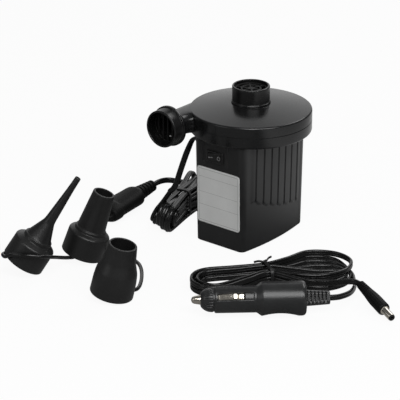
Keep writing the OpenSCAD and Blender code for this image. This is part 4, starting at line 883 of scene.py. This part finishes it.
def neck_half(upper):
    """Half of the neck from the outlet back into the casing. Its section is half a superellipse,
    |x/w|^2.6 + |z/h|^2.6 = 1, outside and again 2.2 mm further in; its right side flares by
    8 (1 - sqrt(1 - q^2)) where it meets the rim. Two strips close the ends."""
    seam, sign = SEAM_Z - SPOUT_Z, 1.0 if upper else -1.0
    t = np.linspace(np.pi, 0, HALF_STEPS)
    bow = np.stack([np.sign(np.cos(t)) * np.abs(np.cos(t)) ** (2 / NECK_POWER),
                    np.abs(np.sin(t)) ** (2 / NECK_POWER)], 1)
    high = RIM_H / 2 - 0.02 - sign * seam
    outer, inside = (bow * (NECK_W / 2 - k, sign * (high - k)) + (0, seam) for k in (0.0, WALL))
    outer[[0, -1], 0] *= 0.96
    section = np.vstack([outer, inside[::-1]])
    y = np.concatenate([[-NECK_END], np.linspace(-53.5, -40.0, 18), [-36.0, -30.0, -20.0, -10.0, -3.0]])[:, None]
    flare = 8.0 * (1 - bowl(np.clip((y + 53.0) / 13.0, 0, 1)))
    x = SPOUT_X + section[:, 0] + flare * np.clip((section[:, 0] + 1.0) / 11.0, 0, 1) ** 1.5
    shell = np.stack(np.broadcast_arrays(x, y, SPOUT_Z + section[:, 1]), -1)
    strips = [(np.stack([shell[k, :HALF_STEPS], shell[k, :HALF_STEPS - 1:-1]]), False, False) for k in (0, -1)]
    return [tube(shell), *strips]


for name, node, profile, upper in (("cover_shell", "top_cover", cover_profile, True),
                                   ("casing_shell", "fan_casing", casing_profile, False)):
    make_piece(name, [torus(turned(profile, 160)), *neck_half(upper)], cover_plastic, (node,), 40)

# %% [markdown]
# ### Inlet collar and outlet spout
# Both ports are the same size so that every nozzle fits either. The collar stands on a small bead;
# the spout has a wider stop ring behind it. Each is a turned tube with rounded lips, and carries a
# moulded finger guard: rings and spokes above, upright bars in front.

# %% Ports
def on_spout(points, y):
    """Points of a piece spun round Z, laid along the spout at a place."""
    return moved(points, (SPOUT_X, y, SPOUT_Z), (1, 0, 0), (0, 0, -1), (0, 1, 0))


collar_profile = np.vstack([
    [(BORE_R, COLLAR_Z - 0.4), (SEAT_R + 0.25, COLLAR_Z - 0.4)], arc((SEAT_R - 0.45, COLLAR_Z + 0.7), 0.7, 0, 70, 6),
    [(PORT_R + 0.05, COLLAR_Z + 1.75), (PORT_R, COLLAR_Z + 2.2), (PORT_R, COLLAR_TOP - 3.0)],
    arc((PORT_R - 0.8, COLLAR_TOP - 0.8), 0.8, 0, 90, 7), arc((BORE_R + 0.5, COLLAR_TOP - 0.5), 0.5, 90, 180, 5),
    [(BORE_R, COLLAR_TOP - 4)]])
make_piece("inlet_collar_ring", [torus(turned(collar_profile, 128))], spout_plastic,
           ("inlet_collar",), 45)
spout_profile = np.vstack([
    [(BORE_R, SPOUT_LEN - 2.2), (BORE_R, 0.6)], arc((BORE_R + 0.5, 0.5), 0.5, 180, 270, 5),
    arc((PORT_R - 0.8, 0.8), 0.8, -90, 0, 7), [(PORT_R, 8.9), (PORT_R + 0.15, 9.2)],
    arc((RING_R - 0.5, 9.9), 0.5, -90, 0, 5), arc((RING_R - 0.5, SPOUT_LEN - 0.5), 0.5, 0, 90, 5),
    [(9.6, SPOUT_LEN), (9.0, SPOUT_LEN - 0.3), (9.0, SPOUT_LEN - 2.2)]])
make_piece("outlet_spout_ring", [torus(on_spout(turned(spout_profile, 128), -SPOUT_REACH))], spout_plastic,
           ("outlet_spout",), 45)

# %% Finger guards
def bar(start, end, wide, half_w, half_h):
    """A straight bar with a rounded rectangular section between two points."""
    section = rounded([(-half_w, -half_h), (half_w, -half_h), (half_w, half_h), (-half_w, half_h)], 0.3, 4).T
    return tube(sweep(np.array([start, end]), wide, section))


def hoop(inside, outside, low, high):
    """A ring with a rounded rectangular section, spun round Z."""
    return turned(rounded([(inside, low), (outside, low), (outside, high), (inside, high)], 0.35, 4), 96)


guard_z = COLLAR_TOP - 2.4
guard = [torus(hoop(inside, outside, guard_z - 2, guard_z)) for inside, outside in (
    (BORE_R - 1.5, BORE_R + 0.05), (BORE_R * 0.52, BORE_R * 0.63), (0.01, BORE_R * 0.22))]
for a in np.radians(15 + 60 * np.arange(6)):
    spoke, level = np.array([np.cos(a), np.sin(a), 0.0]), (guard_z - 1) * UP
    guard.append(bar(2.6 * spoke + level, 12.4 * spoke + level, UP, 0.85, 0.65))
make_piece("inlet_guard", guard, grille_plastic, ("inlet_grille",), 45)
guard_y = -SPOUT_REACH + SPOUT_LEN - 3.0
guard = [torus(on_spout(hoop(BORE_R - 1.2, BORE_R + 0.05, -0.8, 0.8), guard_y))]
for x in 4.7 * np.arange(-2, 3):
    middle, reach = np.array([SPOUT_X + x, guard_y, SPOUT_Z]), np.sqrt((BORE_R - 0.6) ** 2 - x**2) * UP
    guard.append(bar(middle - reach, middle + reach, (0, 1, 0), 0.8, 0.7))
make_piece("outlet_guard", guard, grille_plastic, ("outlet_grille",), 45)

# %% [markdown]
# ## Nozzles
# Three nozzles push onto the ports: a needle for small valves, a medium one and a wide one. They are
# injection-moulded and turned in shape, so each is a closed profile spun round its own axis, with a
# thin step where cup and cone meet. They stand on the rim of the cup, leaning as they did in the
# photograph, so the spun points are then laid along three leaning axes.

# %% Nozzles
CUP_R, CUP_BORE, CUP_DEPTH = 16.9, 15.3, 14.0


def nozzle(name, node, above, radii, at, lean_deg, heading_deg):
    """One nozzle: the closed profile of cup and cone with rounded corners, spun and then tipped over
    one edge of its cup, which stays on the floor."""
    profile = [(CUP_BORE, 0), (CUP_R, 0), *above, (CUP_BORE, CUP_DEPTH)]
    spun = turned(rounded(profile, [0.4, 0.4, *radii, 0.5], 5), 128)
    (cl, ch), (sl, sh) = (turn(np.radians([lean_deg, heading_deg])) for turn in (np.cos, np.sin))
    points = moved(spun, (*at, CUP_R * sl), (cl * ch, cl * sh, -sl), (-sh, ch, 0.0), (sl * ch, sl * sh, cl))
    make_piece(name, [torus(points)], nozzle_plastic, (node,), 35)


nozzle("needle_tip", "needle_nozzle",
       [(16.75, 18.7), (11.7, 21.7), (11.5, 24.3), (10.5, 24.7), (9.6, 26.6), (4.7, 39.4), (4.3, 42.0), (2.6, 72.0),
        (2.3, 83), (1.3, 83), (1.4, 60), (2.8, 40), (8.6, 25), (13.6, 16)],
       [1.3, 0.4, 0.6, 0.4, 1.2, 2.5, 2.5, 3.0, 0.6, 0.3, 1, 1, 1, 1], (-87.4, -174.6), 32.5, 39.6)
nozzle("medium_tip", "medium_nozzle",
       [(16.75, 18.9), (12.8, 20.8), (12.6, 22.8), (11.6, 23.2), (11.3, 25.0), (8.7, 53.6), (8.5, 54.4), (7.0, 54.4),
        (9.4, 24), (13.6, 16.6)], [1.3, 0.4, 0.6, 0.4, 0.8, 0.4, 0.35, 0.35, 1, 1], (-68.1, -127.6), 19.7, 39.6)
nozzle("wide_tip", "wide_nozzle",
       [(16.7, 12.0), (16.4, 15.5), (15.9, 19.6), (15.5, 21.0), (13.4, 27.2), (12.9, 29.0), (11.1, 41.8),
        (10.9, 42.4), (9.4, 42.4), (11.2, 28), (13.8, 18)],
       [1.4, 1.4, 1.8, 2.0, 1.5, 1.5, 0.4, 0.35, 0.35, 1, 1], (-2.6, -166.1), 13.3, 25.0)

# %% [markdown]
# ## Car plug
# The 12 V plug has a sprung tip, a knurled nose cap that unscrews to change the fuse, a barrel with
# two sprung side contacts in shallow channels, a thicker grip and a slotted strain relief. Each is a
# tube along the plug's axis, read off a table of places and radii. What is cut from a radius depends
# on length and angle, so channels, slots, knurls and the waisted underside are all terms of a formula.

# %% Tubes with a table of widths
def table_tube(origin, axis, wide_way, table, sides=72, square=2.0, cut=0.0):
    """Rings along an axis. A table row is (place, half width, half height) or (place, radius); a ring
    is the superellipse |x/w|^n + |z/h|^n = 1 with the given n, its half axes less what is cut."""
    axis, wide_way = unit(axis), unit(wide_way)
    x, w, h = np.asarray(table, float)[:, [0, 1, -1], None].transpose(1, 0, 2)
    t = full_turn(sides)
    across, over = (np.sign(v) * np.abs(v) ** (2 / square) for v in (np.cos(t), np.sin(t)))
    return (np.asarray(origin) + x[..., None] * axis + ((w - cut) * across)[..., None] * wide_way
            + ((h - cut) * over)[..., None] * np.cross(axis, wide_way))


def window(value, low, high, soft):
    """A smooth 0-1-0 window between two values with soft edges."""
    return np.clip((value - low) / soft + 0.5, 0, 1) * np.clip((high - value) / soft + 0.5, 0, 1)


# %% Barrel and grip
CAR_AT = np.array([65.0, -152.5, 13.1])
NOSE_X, BARREL_X, GRIP_X, RELIEF_X, END_X = 6.6, 17.4, 50.9, 85.9, 103.9
BARREL_R, GRIP_R, ROLL, WAIST_TURN = 10.2, 13.1, np.radians(55.0), np.radians(157.5)


def car_plug_piece(name, node, wrap, table, sides, cut=0.0, crease=40):
    """One turned part of the plug; angle 0 is up and turns towards the near side."""
    points = table_tube(CAR_AT, car_axis, UP, table, sides, 2.0, cut)
    make_piece(name, [wrap(points)], plug_plastic, (node,), crease)


ending = RELIEF_X - 3
lengths = np.concatenate([
    [BARREL_X] * 2, BARREL_X + np.array([0.3, 0.8]), np.linspace(BARREL_X + 1.4, BARREL_X + 31, 74),
    np.linspace(GRIP_X - 2.3, GRIP_X + 2.7, 14), np.linspace(GRIP_X + 3.5, RELIEF_X - 3.4, 30),
    ending + 3 * np.sin(np.linspace(0, np.pi / 2, 8)), [RELIEF_X]])
profile_r = np.interp(
    lengths, [BARREL_X, BARREL_X + 0.8, GRIP_X - 2.5, GRIP_X - 1.6, GRIP_X + 1.6, GRIP_X + 2.6, ending],
    [9.6, BARREL_R, BARREL_R, 10.5, 12.8, GRIP_R, GRIP_R]) - 2.6 * (1 - bowl(np.clip((lengths - ending) / 3, 0, 1)))
profile_r[0], profile_r[-1] = 4.2, 4.0
L, T = np.meshgrid(lengths, full_turn(256), indexing="ij")
R = np.repeat(profile_r[:, None], 256, 1)
for roll in (ROLL, ROLL + np.pi):
    off = np.abs((T - roll + np.pi) % (2 * np.pi) - np.pi) * BARREL_R
    channel = window(L, BARREL_X + 2, BARREL_X + 29.5, 0.5) * np.clip((3.3 - off) / 0.35 + 0.5, 0, 1)
    slot = window(L, BARREL_X + 2.7, BARREL_X + 22.5, 0.5) * np.clip((2.55 - off) / 0.3 + 0.5, 0, 1)
    R = R - (0.55 * channel + 2.6 * slot) * (R > 8)
waist = np.clip(np.sqrt(np.clip(2200 - (L - GRIP_X - 15.0) ** 2, 0, None)) - 44.6, 0, 2.3)
R = np.minimum(R, np.where(waist > 0, (GRIP_R - waist) / np.clip(np.cos(T - WAIST_TURN), 0.5, 1), R))
car_plug_piece("car_plug_shell", "car_plug_body", lambda points: tube(capped(points)),
               np.stack([lengths, profile_r], 1), 256, profile_r[:, None] - R, 35)

# %% Nose, tip and relief
dome = [(0.3, 4.7), (0.6, 5.3), (1.2, 6.1), (2.0, 6.9), (3.1, 7.7), (4.3, 8.4), (5.5, 8.9), (6.8, 9.2), (8.2, 9.35),
        (9.4, 9.35), (9.7, 9.2), (9.85, 9.0)]
nose = np.vstack([[(NOSE_X + 0.3, 3.85)], np.add(dome, (NOSE_X, 0.0)), [
    (BARREL_X - 0.05, 9.0), (BARREL_X - 0.05, 4.4), (10.25, 4.4), (10.25, 3.85)]])
knurled = window(nose[:, 0], NOSE_X + 3.6, NOSE_X + 9.4, 0.4) * (nose[:, 1] > 6)
knurl = 0.5 * np.clip(np.cos(24 * full_turn(288)) * 2.2 - 0.9, 0, 1) * knurled[:, None]
car_plug_piece("car_plug_cap", "car_plug_nose", torus, nose, 288, knurl)
tip = np.vstack([
    [(0.0, 0.0)], arc((0.0, 3.0), 3.0, -80, -8, 9), [(3.3, 4.6), (3.6, 6.4), (3.65, 10.4), (4.1, 10.65)],
    arc((3.95, 10.9), 0.3, -60, 0, 3), [(4.25, 11.9), (4.0, 12.2), (0.0, 12.2)]])[:, ::-1]
make_piece("car_plug_pin", [tube(table_tube(CAR_AT, car_axis, UP, tip, 64))], nickel,
           ("car_plug_tip",), 45, "car_tip")
gap_start = RELIEF_X + 0.1 + 2.83 * np.arange(6)
lengths = np.concatenate([[RELIEF_X - 0.02] * 2, np.add.outer(gap_start, [0.0, 0.1, 1.15, 1.25]).ravel(),
                          [END_X - 0.5, END_X - 0.1, END_X, END_X]])
in_gap = np.concatenate([[0, 0], np.tile([0, 1, 1, 0], 6), [0, 0, 0, 0]])[:, None]
radius = np.interp(lengths, [RELIEF_X, END_X - 0.5, END_X - 0.1, END_X], [6.15, 5.0, 4.8, 4.4])
radius[[0, -1]] = 0.0
from_flat = np.abs((full_turn(96) - np.radians(62.0) + np.pi / 2) % np.pi - np.pi / 2)
slotted = np.clip((np.radians(60.0) - from_flat) / 0.08 + 0.5, 0, 1)
flat = radius[:, None] * (1 - np.minimum(1.0, 0.8 / np.clip(np.cos(from_flat), 0.5, 1)))
car_plug_piece("car_plug_sleeve", "car_plug_relief", tube, np.stack([lengths, radius], 1), 96,
               flat + 3.2 * in_gap * slotted)

# %% Side contacts
car_side, SUNK = np.array([-np.sin(CAR_TURN), np.cos(CAR_TURN), 0.0]), -2.0


def contact(name, node, body, roll):
    """A sprung strip: its height over the barrel is a long ramp out of the slot to a crest, then two
    small folds at the rear, smoothed a little, and its edges are turned down."""
    x = np.concatenate([np.linspace(-6.4, 6.9, 50), np.linspace(7.0, 12.5, 56)])
    height = np.interp(
        x, [-6.4, -6.1, -2.0, 1.5, 3.9, 4.5, 6.9, 7.2, 8.85, 9.45, 10.2, 10.6, 11.0, 11.8, 12.1, 12.5],
        [SUNK, -1.75, -0.5, 0.5, 1.1, 1.35, 1.4, 1.15, -0.25, 0.38, 0.38, 0.02, 0.38, 0.38, 0.1, SUNK])
    height = np.convolve(np.pad(height, 1, mode="edge"), [0.25, 0.5, 0.25], "valid")
    y, drop = np.array([(-2.2, -1.4), (-2.2, -0.5), (-2.1, -0.15), (-1.8, -0.03), (-0.9, 0.0), (0.0, 0.0),
                        (0.9, 0.0), (1.8, -0.03), (2.1, -0.15), (2.2, -0.5), (2.2, -1.4)]).T
    top = np.maximum(height[:, None] + drop, SUNK)
    out, over = np.hstack([top, np.full_like(top, SUNK)]) + BARREL_R, np.concatenate([y, 0.98 * y[::-1]])
    out_way = -np.sin(roll) * car_side + np.cos(roll) * UP
    ring = (CAR_AT + (BARREL_X + 9.6 + x)[:, None, None] * car_axis + out[..., None] * out_way
            + over[:, None] * np.cross(out_way, car_axis))
    make_piece(name, [tube(capped(ring))], nickel, (node,), 40, body)


contact("contact_near", "car_plug_contact_near", "car_contact_near", ROLL)
contact("contact_far", "car_plug_contact_far", "car_contact_far", ROLL + np.pi)

# %% [markdown]
# ## Mains plug, DC plug and gland
# Each cord ends in a moulded-on part. The ribbed rear of a plug is a strain relief: rings that let
# the cord bend gradually. All three are tubes along an axis with a table of widths and heights; the
# mains plug is an oval, the other two are round.

# %% Mains plug
def ribbed(start, stop, r0, r1, cut, count):
    """Table rows of a ribbed sleeve: radius r0 to r1 with round-cornered rings cut into it."""
    pitch = (stop - start) / count
    x = start + pitch * np.arange(count)[:, None] + pitch * np.array([0.0, 0.08, 0.5, 0.58, 0.66, 0.9, 0.98])
    r = np.interp(x, [start, stop], [r0, r1]) - cut * np.array([0.25, 0.0, 0.0, 0.3, 1.0, 1.0, 0.3])
    return np.stack([x.ravel(), r.ravel()], 1)


plug_side, PIN_OFF = np.array([0.9999, 0.01396, 0.0]), 9.3
shape_x = np.linspace(18.9, 61.4, 64)
stations = [18.9, 19.3, 22.6, 25.0, 34.0, 50.6, 51.6, 57.0, 60.4, 61.4]
smooth5 = np.array([1, 2, 3, 2, 1]) / 9
widths = [6.6, 7.4, 10.2, 10.7, 11.2, 11.9, 13.0, 13.1, 12.9, 12.4]
heights = [6.2, 6.6, 7.8, 7.7, 7.4, 7.2, 8.1, 8.2, 7.8, 6.9]
half_w, half_h = (np.convolve(np.pad(np.interp(shape_x, stations, row), 2, mode="edge"), smooth5, "valid")
                  for row in (widths, heights))
plug_table = np.vstack([[(0.0, 0.0, 0.0)], ribbed(0.0, 18.6, 4.7, 6.3, 1.0, 5)[:, [0, 1, 1]],
                        np.stack([shape_x, half_w, half_h], 1),
                        [(61.9, 11.2, 6.2), (62.0, 10.6, 5.8), (62.0, 0.0, 0.0)]])
sleeve = [(61.8, 0.0), (61.8, 2.06), (71.8, 2.06), (72.0, 1.98), (72.0, 0.0)]
pin = [(71.9, 0.0), (71.9, 2.0), (79.0, 2.0), (80.3, 1.75), (80.9, 1.2), (81.0, 0.0)]
sleeves, pins = ([tube(table_tube(PLUG_REAR + off * plug_side, plug_way, plug_side, rows, 32))
                  for off in (-PIN_OFF, PIN_OFF)] for rows in (sleeve, pin))
plug_shell = tube(table_tube(PLUG_REAR, plug_way, plug_side, plug_table, 80, 2.15))
mains_plug = make_piece("mains_plug_shell", [plug_shell, *sleeves], grip_plastic,
                        ("mains_plug_body",), 40)
mains_pins = make_piece("mains_pins", pins, brass, ("mains_plug_blades",), 35)

# %% DC plug
dc_side = np.array([0.4019, 0.9157, 0.0])
grip_table = np.vstack([[(0.0, 0.0)], ribbed(0.0, 12.0, 3.3, 4.1, 0.8, 6), [
    (12.2, 4.1), (13.0, 4.2), (15.4, 4.45), (18.5, 4.75), (23.0, 5.0), (30.0, 5.0), (34.8, 5.0), (35.6, 4.75),
    (36.0, 4.2), (36.0, 0.0)]])
flutes = 0.16 * np.clip(np.cos(16 * full_turn(96)), 0, 1) * window(grip_table[:, :1], 16.0, 34.0, 1.0)
grip = table_tube(DC_REAR, dc_way, dc_side, grip_table, 96, 2.0, flutes)
dc_grip = make_piece("dc_plug_handle", [tube(grip)], grip_plastic, ("dc_plug_grip",), 40)
barrel_table = [(35.9, 2.2), (35.9, 3.3), (36.4, 3.35), (36.6, 2.85), (37.0, 2.75), (46.2, 2.75), (46.5, 2.6),
                (46.5, 2.2), (36.0, 2.2)]
core_table = [(37.0, 1.05), (37.0, 2.18), (46.5, 2.18), (46.55, 2.55), (47.1, 2.55), (47.4, 2.3),
              (47.4, 1.3), (47.1, 1.05)]
barrel, core = ([torus(table_tube(DC_REAR, dc_way, dc_side, rows, 64))] for rows in (barrel_table, core_table))
dc_barrel = make_piece("dc_plug_sleeve", barrel, nickel, ("dc_plug_barrel",), 40)
dc_core = make_piece("dc_plug_bush", core, grille_plastic, ("dc_plug_core",), 40)

# %% Gland
gland_table = np.vstack([[(0.2, 0.0), (0.2, 5.2), (1.6, 5.2), (1.9, 4.9)], ribbed(2.0, 8.4, 4.8, 3.9, 0.55, 3),
                         [(8.6, 3.7), (9.0, 3.3), (9.0, 0.0)]])
gland = table_tube(MAINS_EXIT - 9.0 * gland_way, gland_way, UP, gland_table, 56)
make_piece("flex_gland", [tube(gland)], foot_rubber, ("cord_gland",), 40)

# %% [markdown]
# ## What the cords are
# A cord has facts as well as a shape: its real length, how thick it is, where it leaves and what is
# on its end. This script gives them only as shapes: the swept cords and the plugs on their ends, built above.

# %% Cords built
print("three cords and their plugs built")

# %% [markdown]
# ## The parts inside
# Motor, impeller, board and screws keep the shapes they have in the solids, which are exact and
# mostly hidden. They still get real finishes, since a moved or opened part shows them: drawn steel,
# enamelled copper, green board, sleeved capacitors.

# %% Inner finishes
def dress(finish, *nodes):
    """Gives a finish to solids that are shown as they are."""
    for node in nodes:
        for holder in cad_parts[node].material_slots:
            holder.material = finish
    print(finish.name, "on", ", ".join(nodes))


dress(housing_plastic, "base_plate")
dress(foot_rubber, "rubber_feet")
dress(screw_steel, "base_screws", "casing_screws", "cover_screws", "motor_screws")
dress(motor_steel, "motor_can", "armature_core")
dress(metal("shaft_steel", (0.66, 0.66, 0.67, 1), 0.16), "rotor_shaft", "car_plug_spring")
dress(bronze, "motor_bushes")
dress(copper, "armature_windings", "commutator")
dress(plastic("magnet_ferrite", grey(0.05), 0.7, grain=0.25, relief=0.03), "motor_magnets")
dress(plastic("brush_carbon", grey(0.018), 0.55, grain=0.2, relief=0.03), "carbon_brushes")
dress(plastic("end_cap_plastic", grey(0.03), 0.5), "motor_end_cap")
dress(plastic("impeller_plastic", grey(0.045, -0.03), 0.4, grain=0.5), "impeller")
dress(plastic("board_green", (0.02, 0.12, 0.05, 1), 0.35, grain=0.9, uneven=0.5), "power_board")
dress(plastic("tape_yellow", (0.55, 0.36, 0.06, 1), 0.4, grain=0.8), "transformer")
dress(plastic("capacitor_sleeve", (0.02, 0.025, 0.035, 1), 0.25), "capacitors")
dress(grille_plastic, "dc_socket")
dress(plastic("fuse_glass", (0.62, 0.66, 0.66, 1), 0.12, grain=2.0, uneven=0.1), "car_plug_fuse")
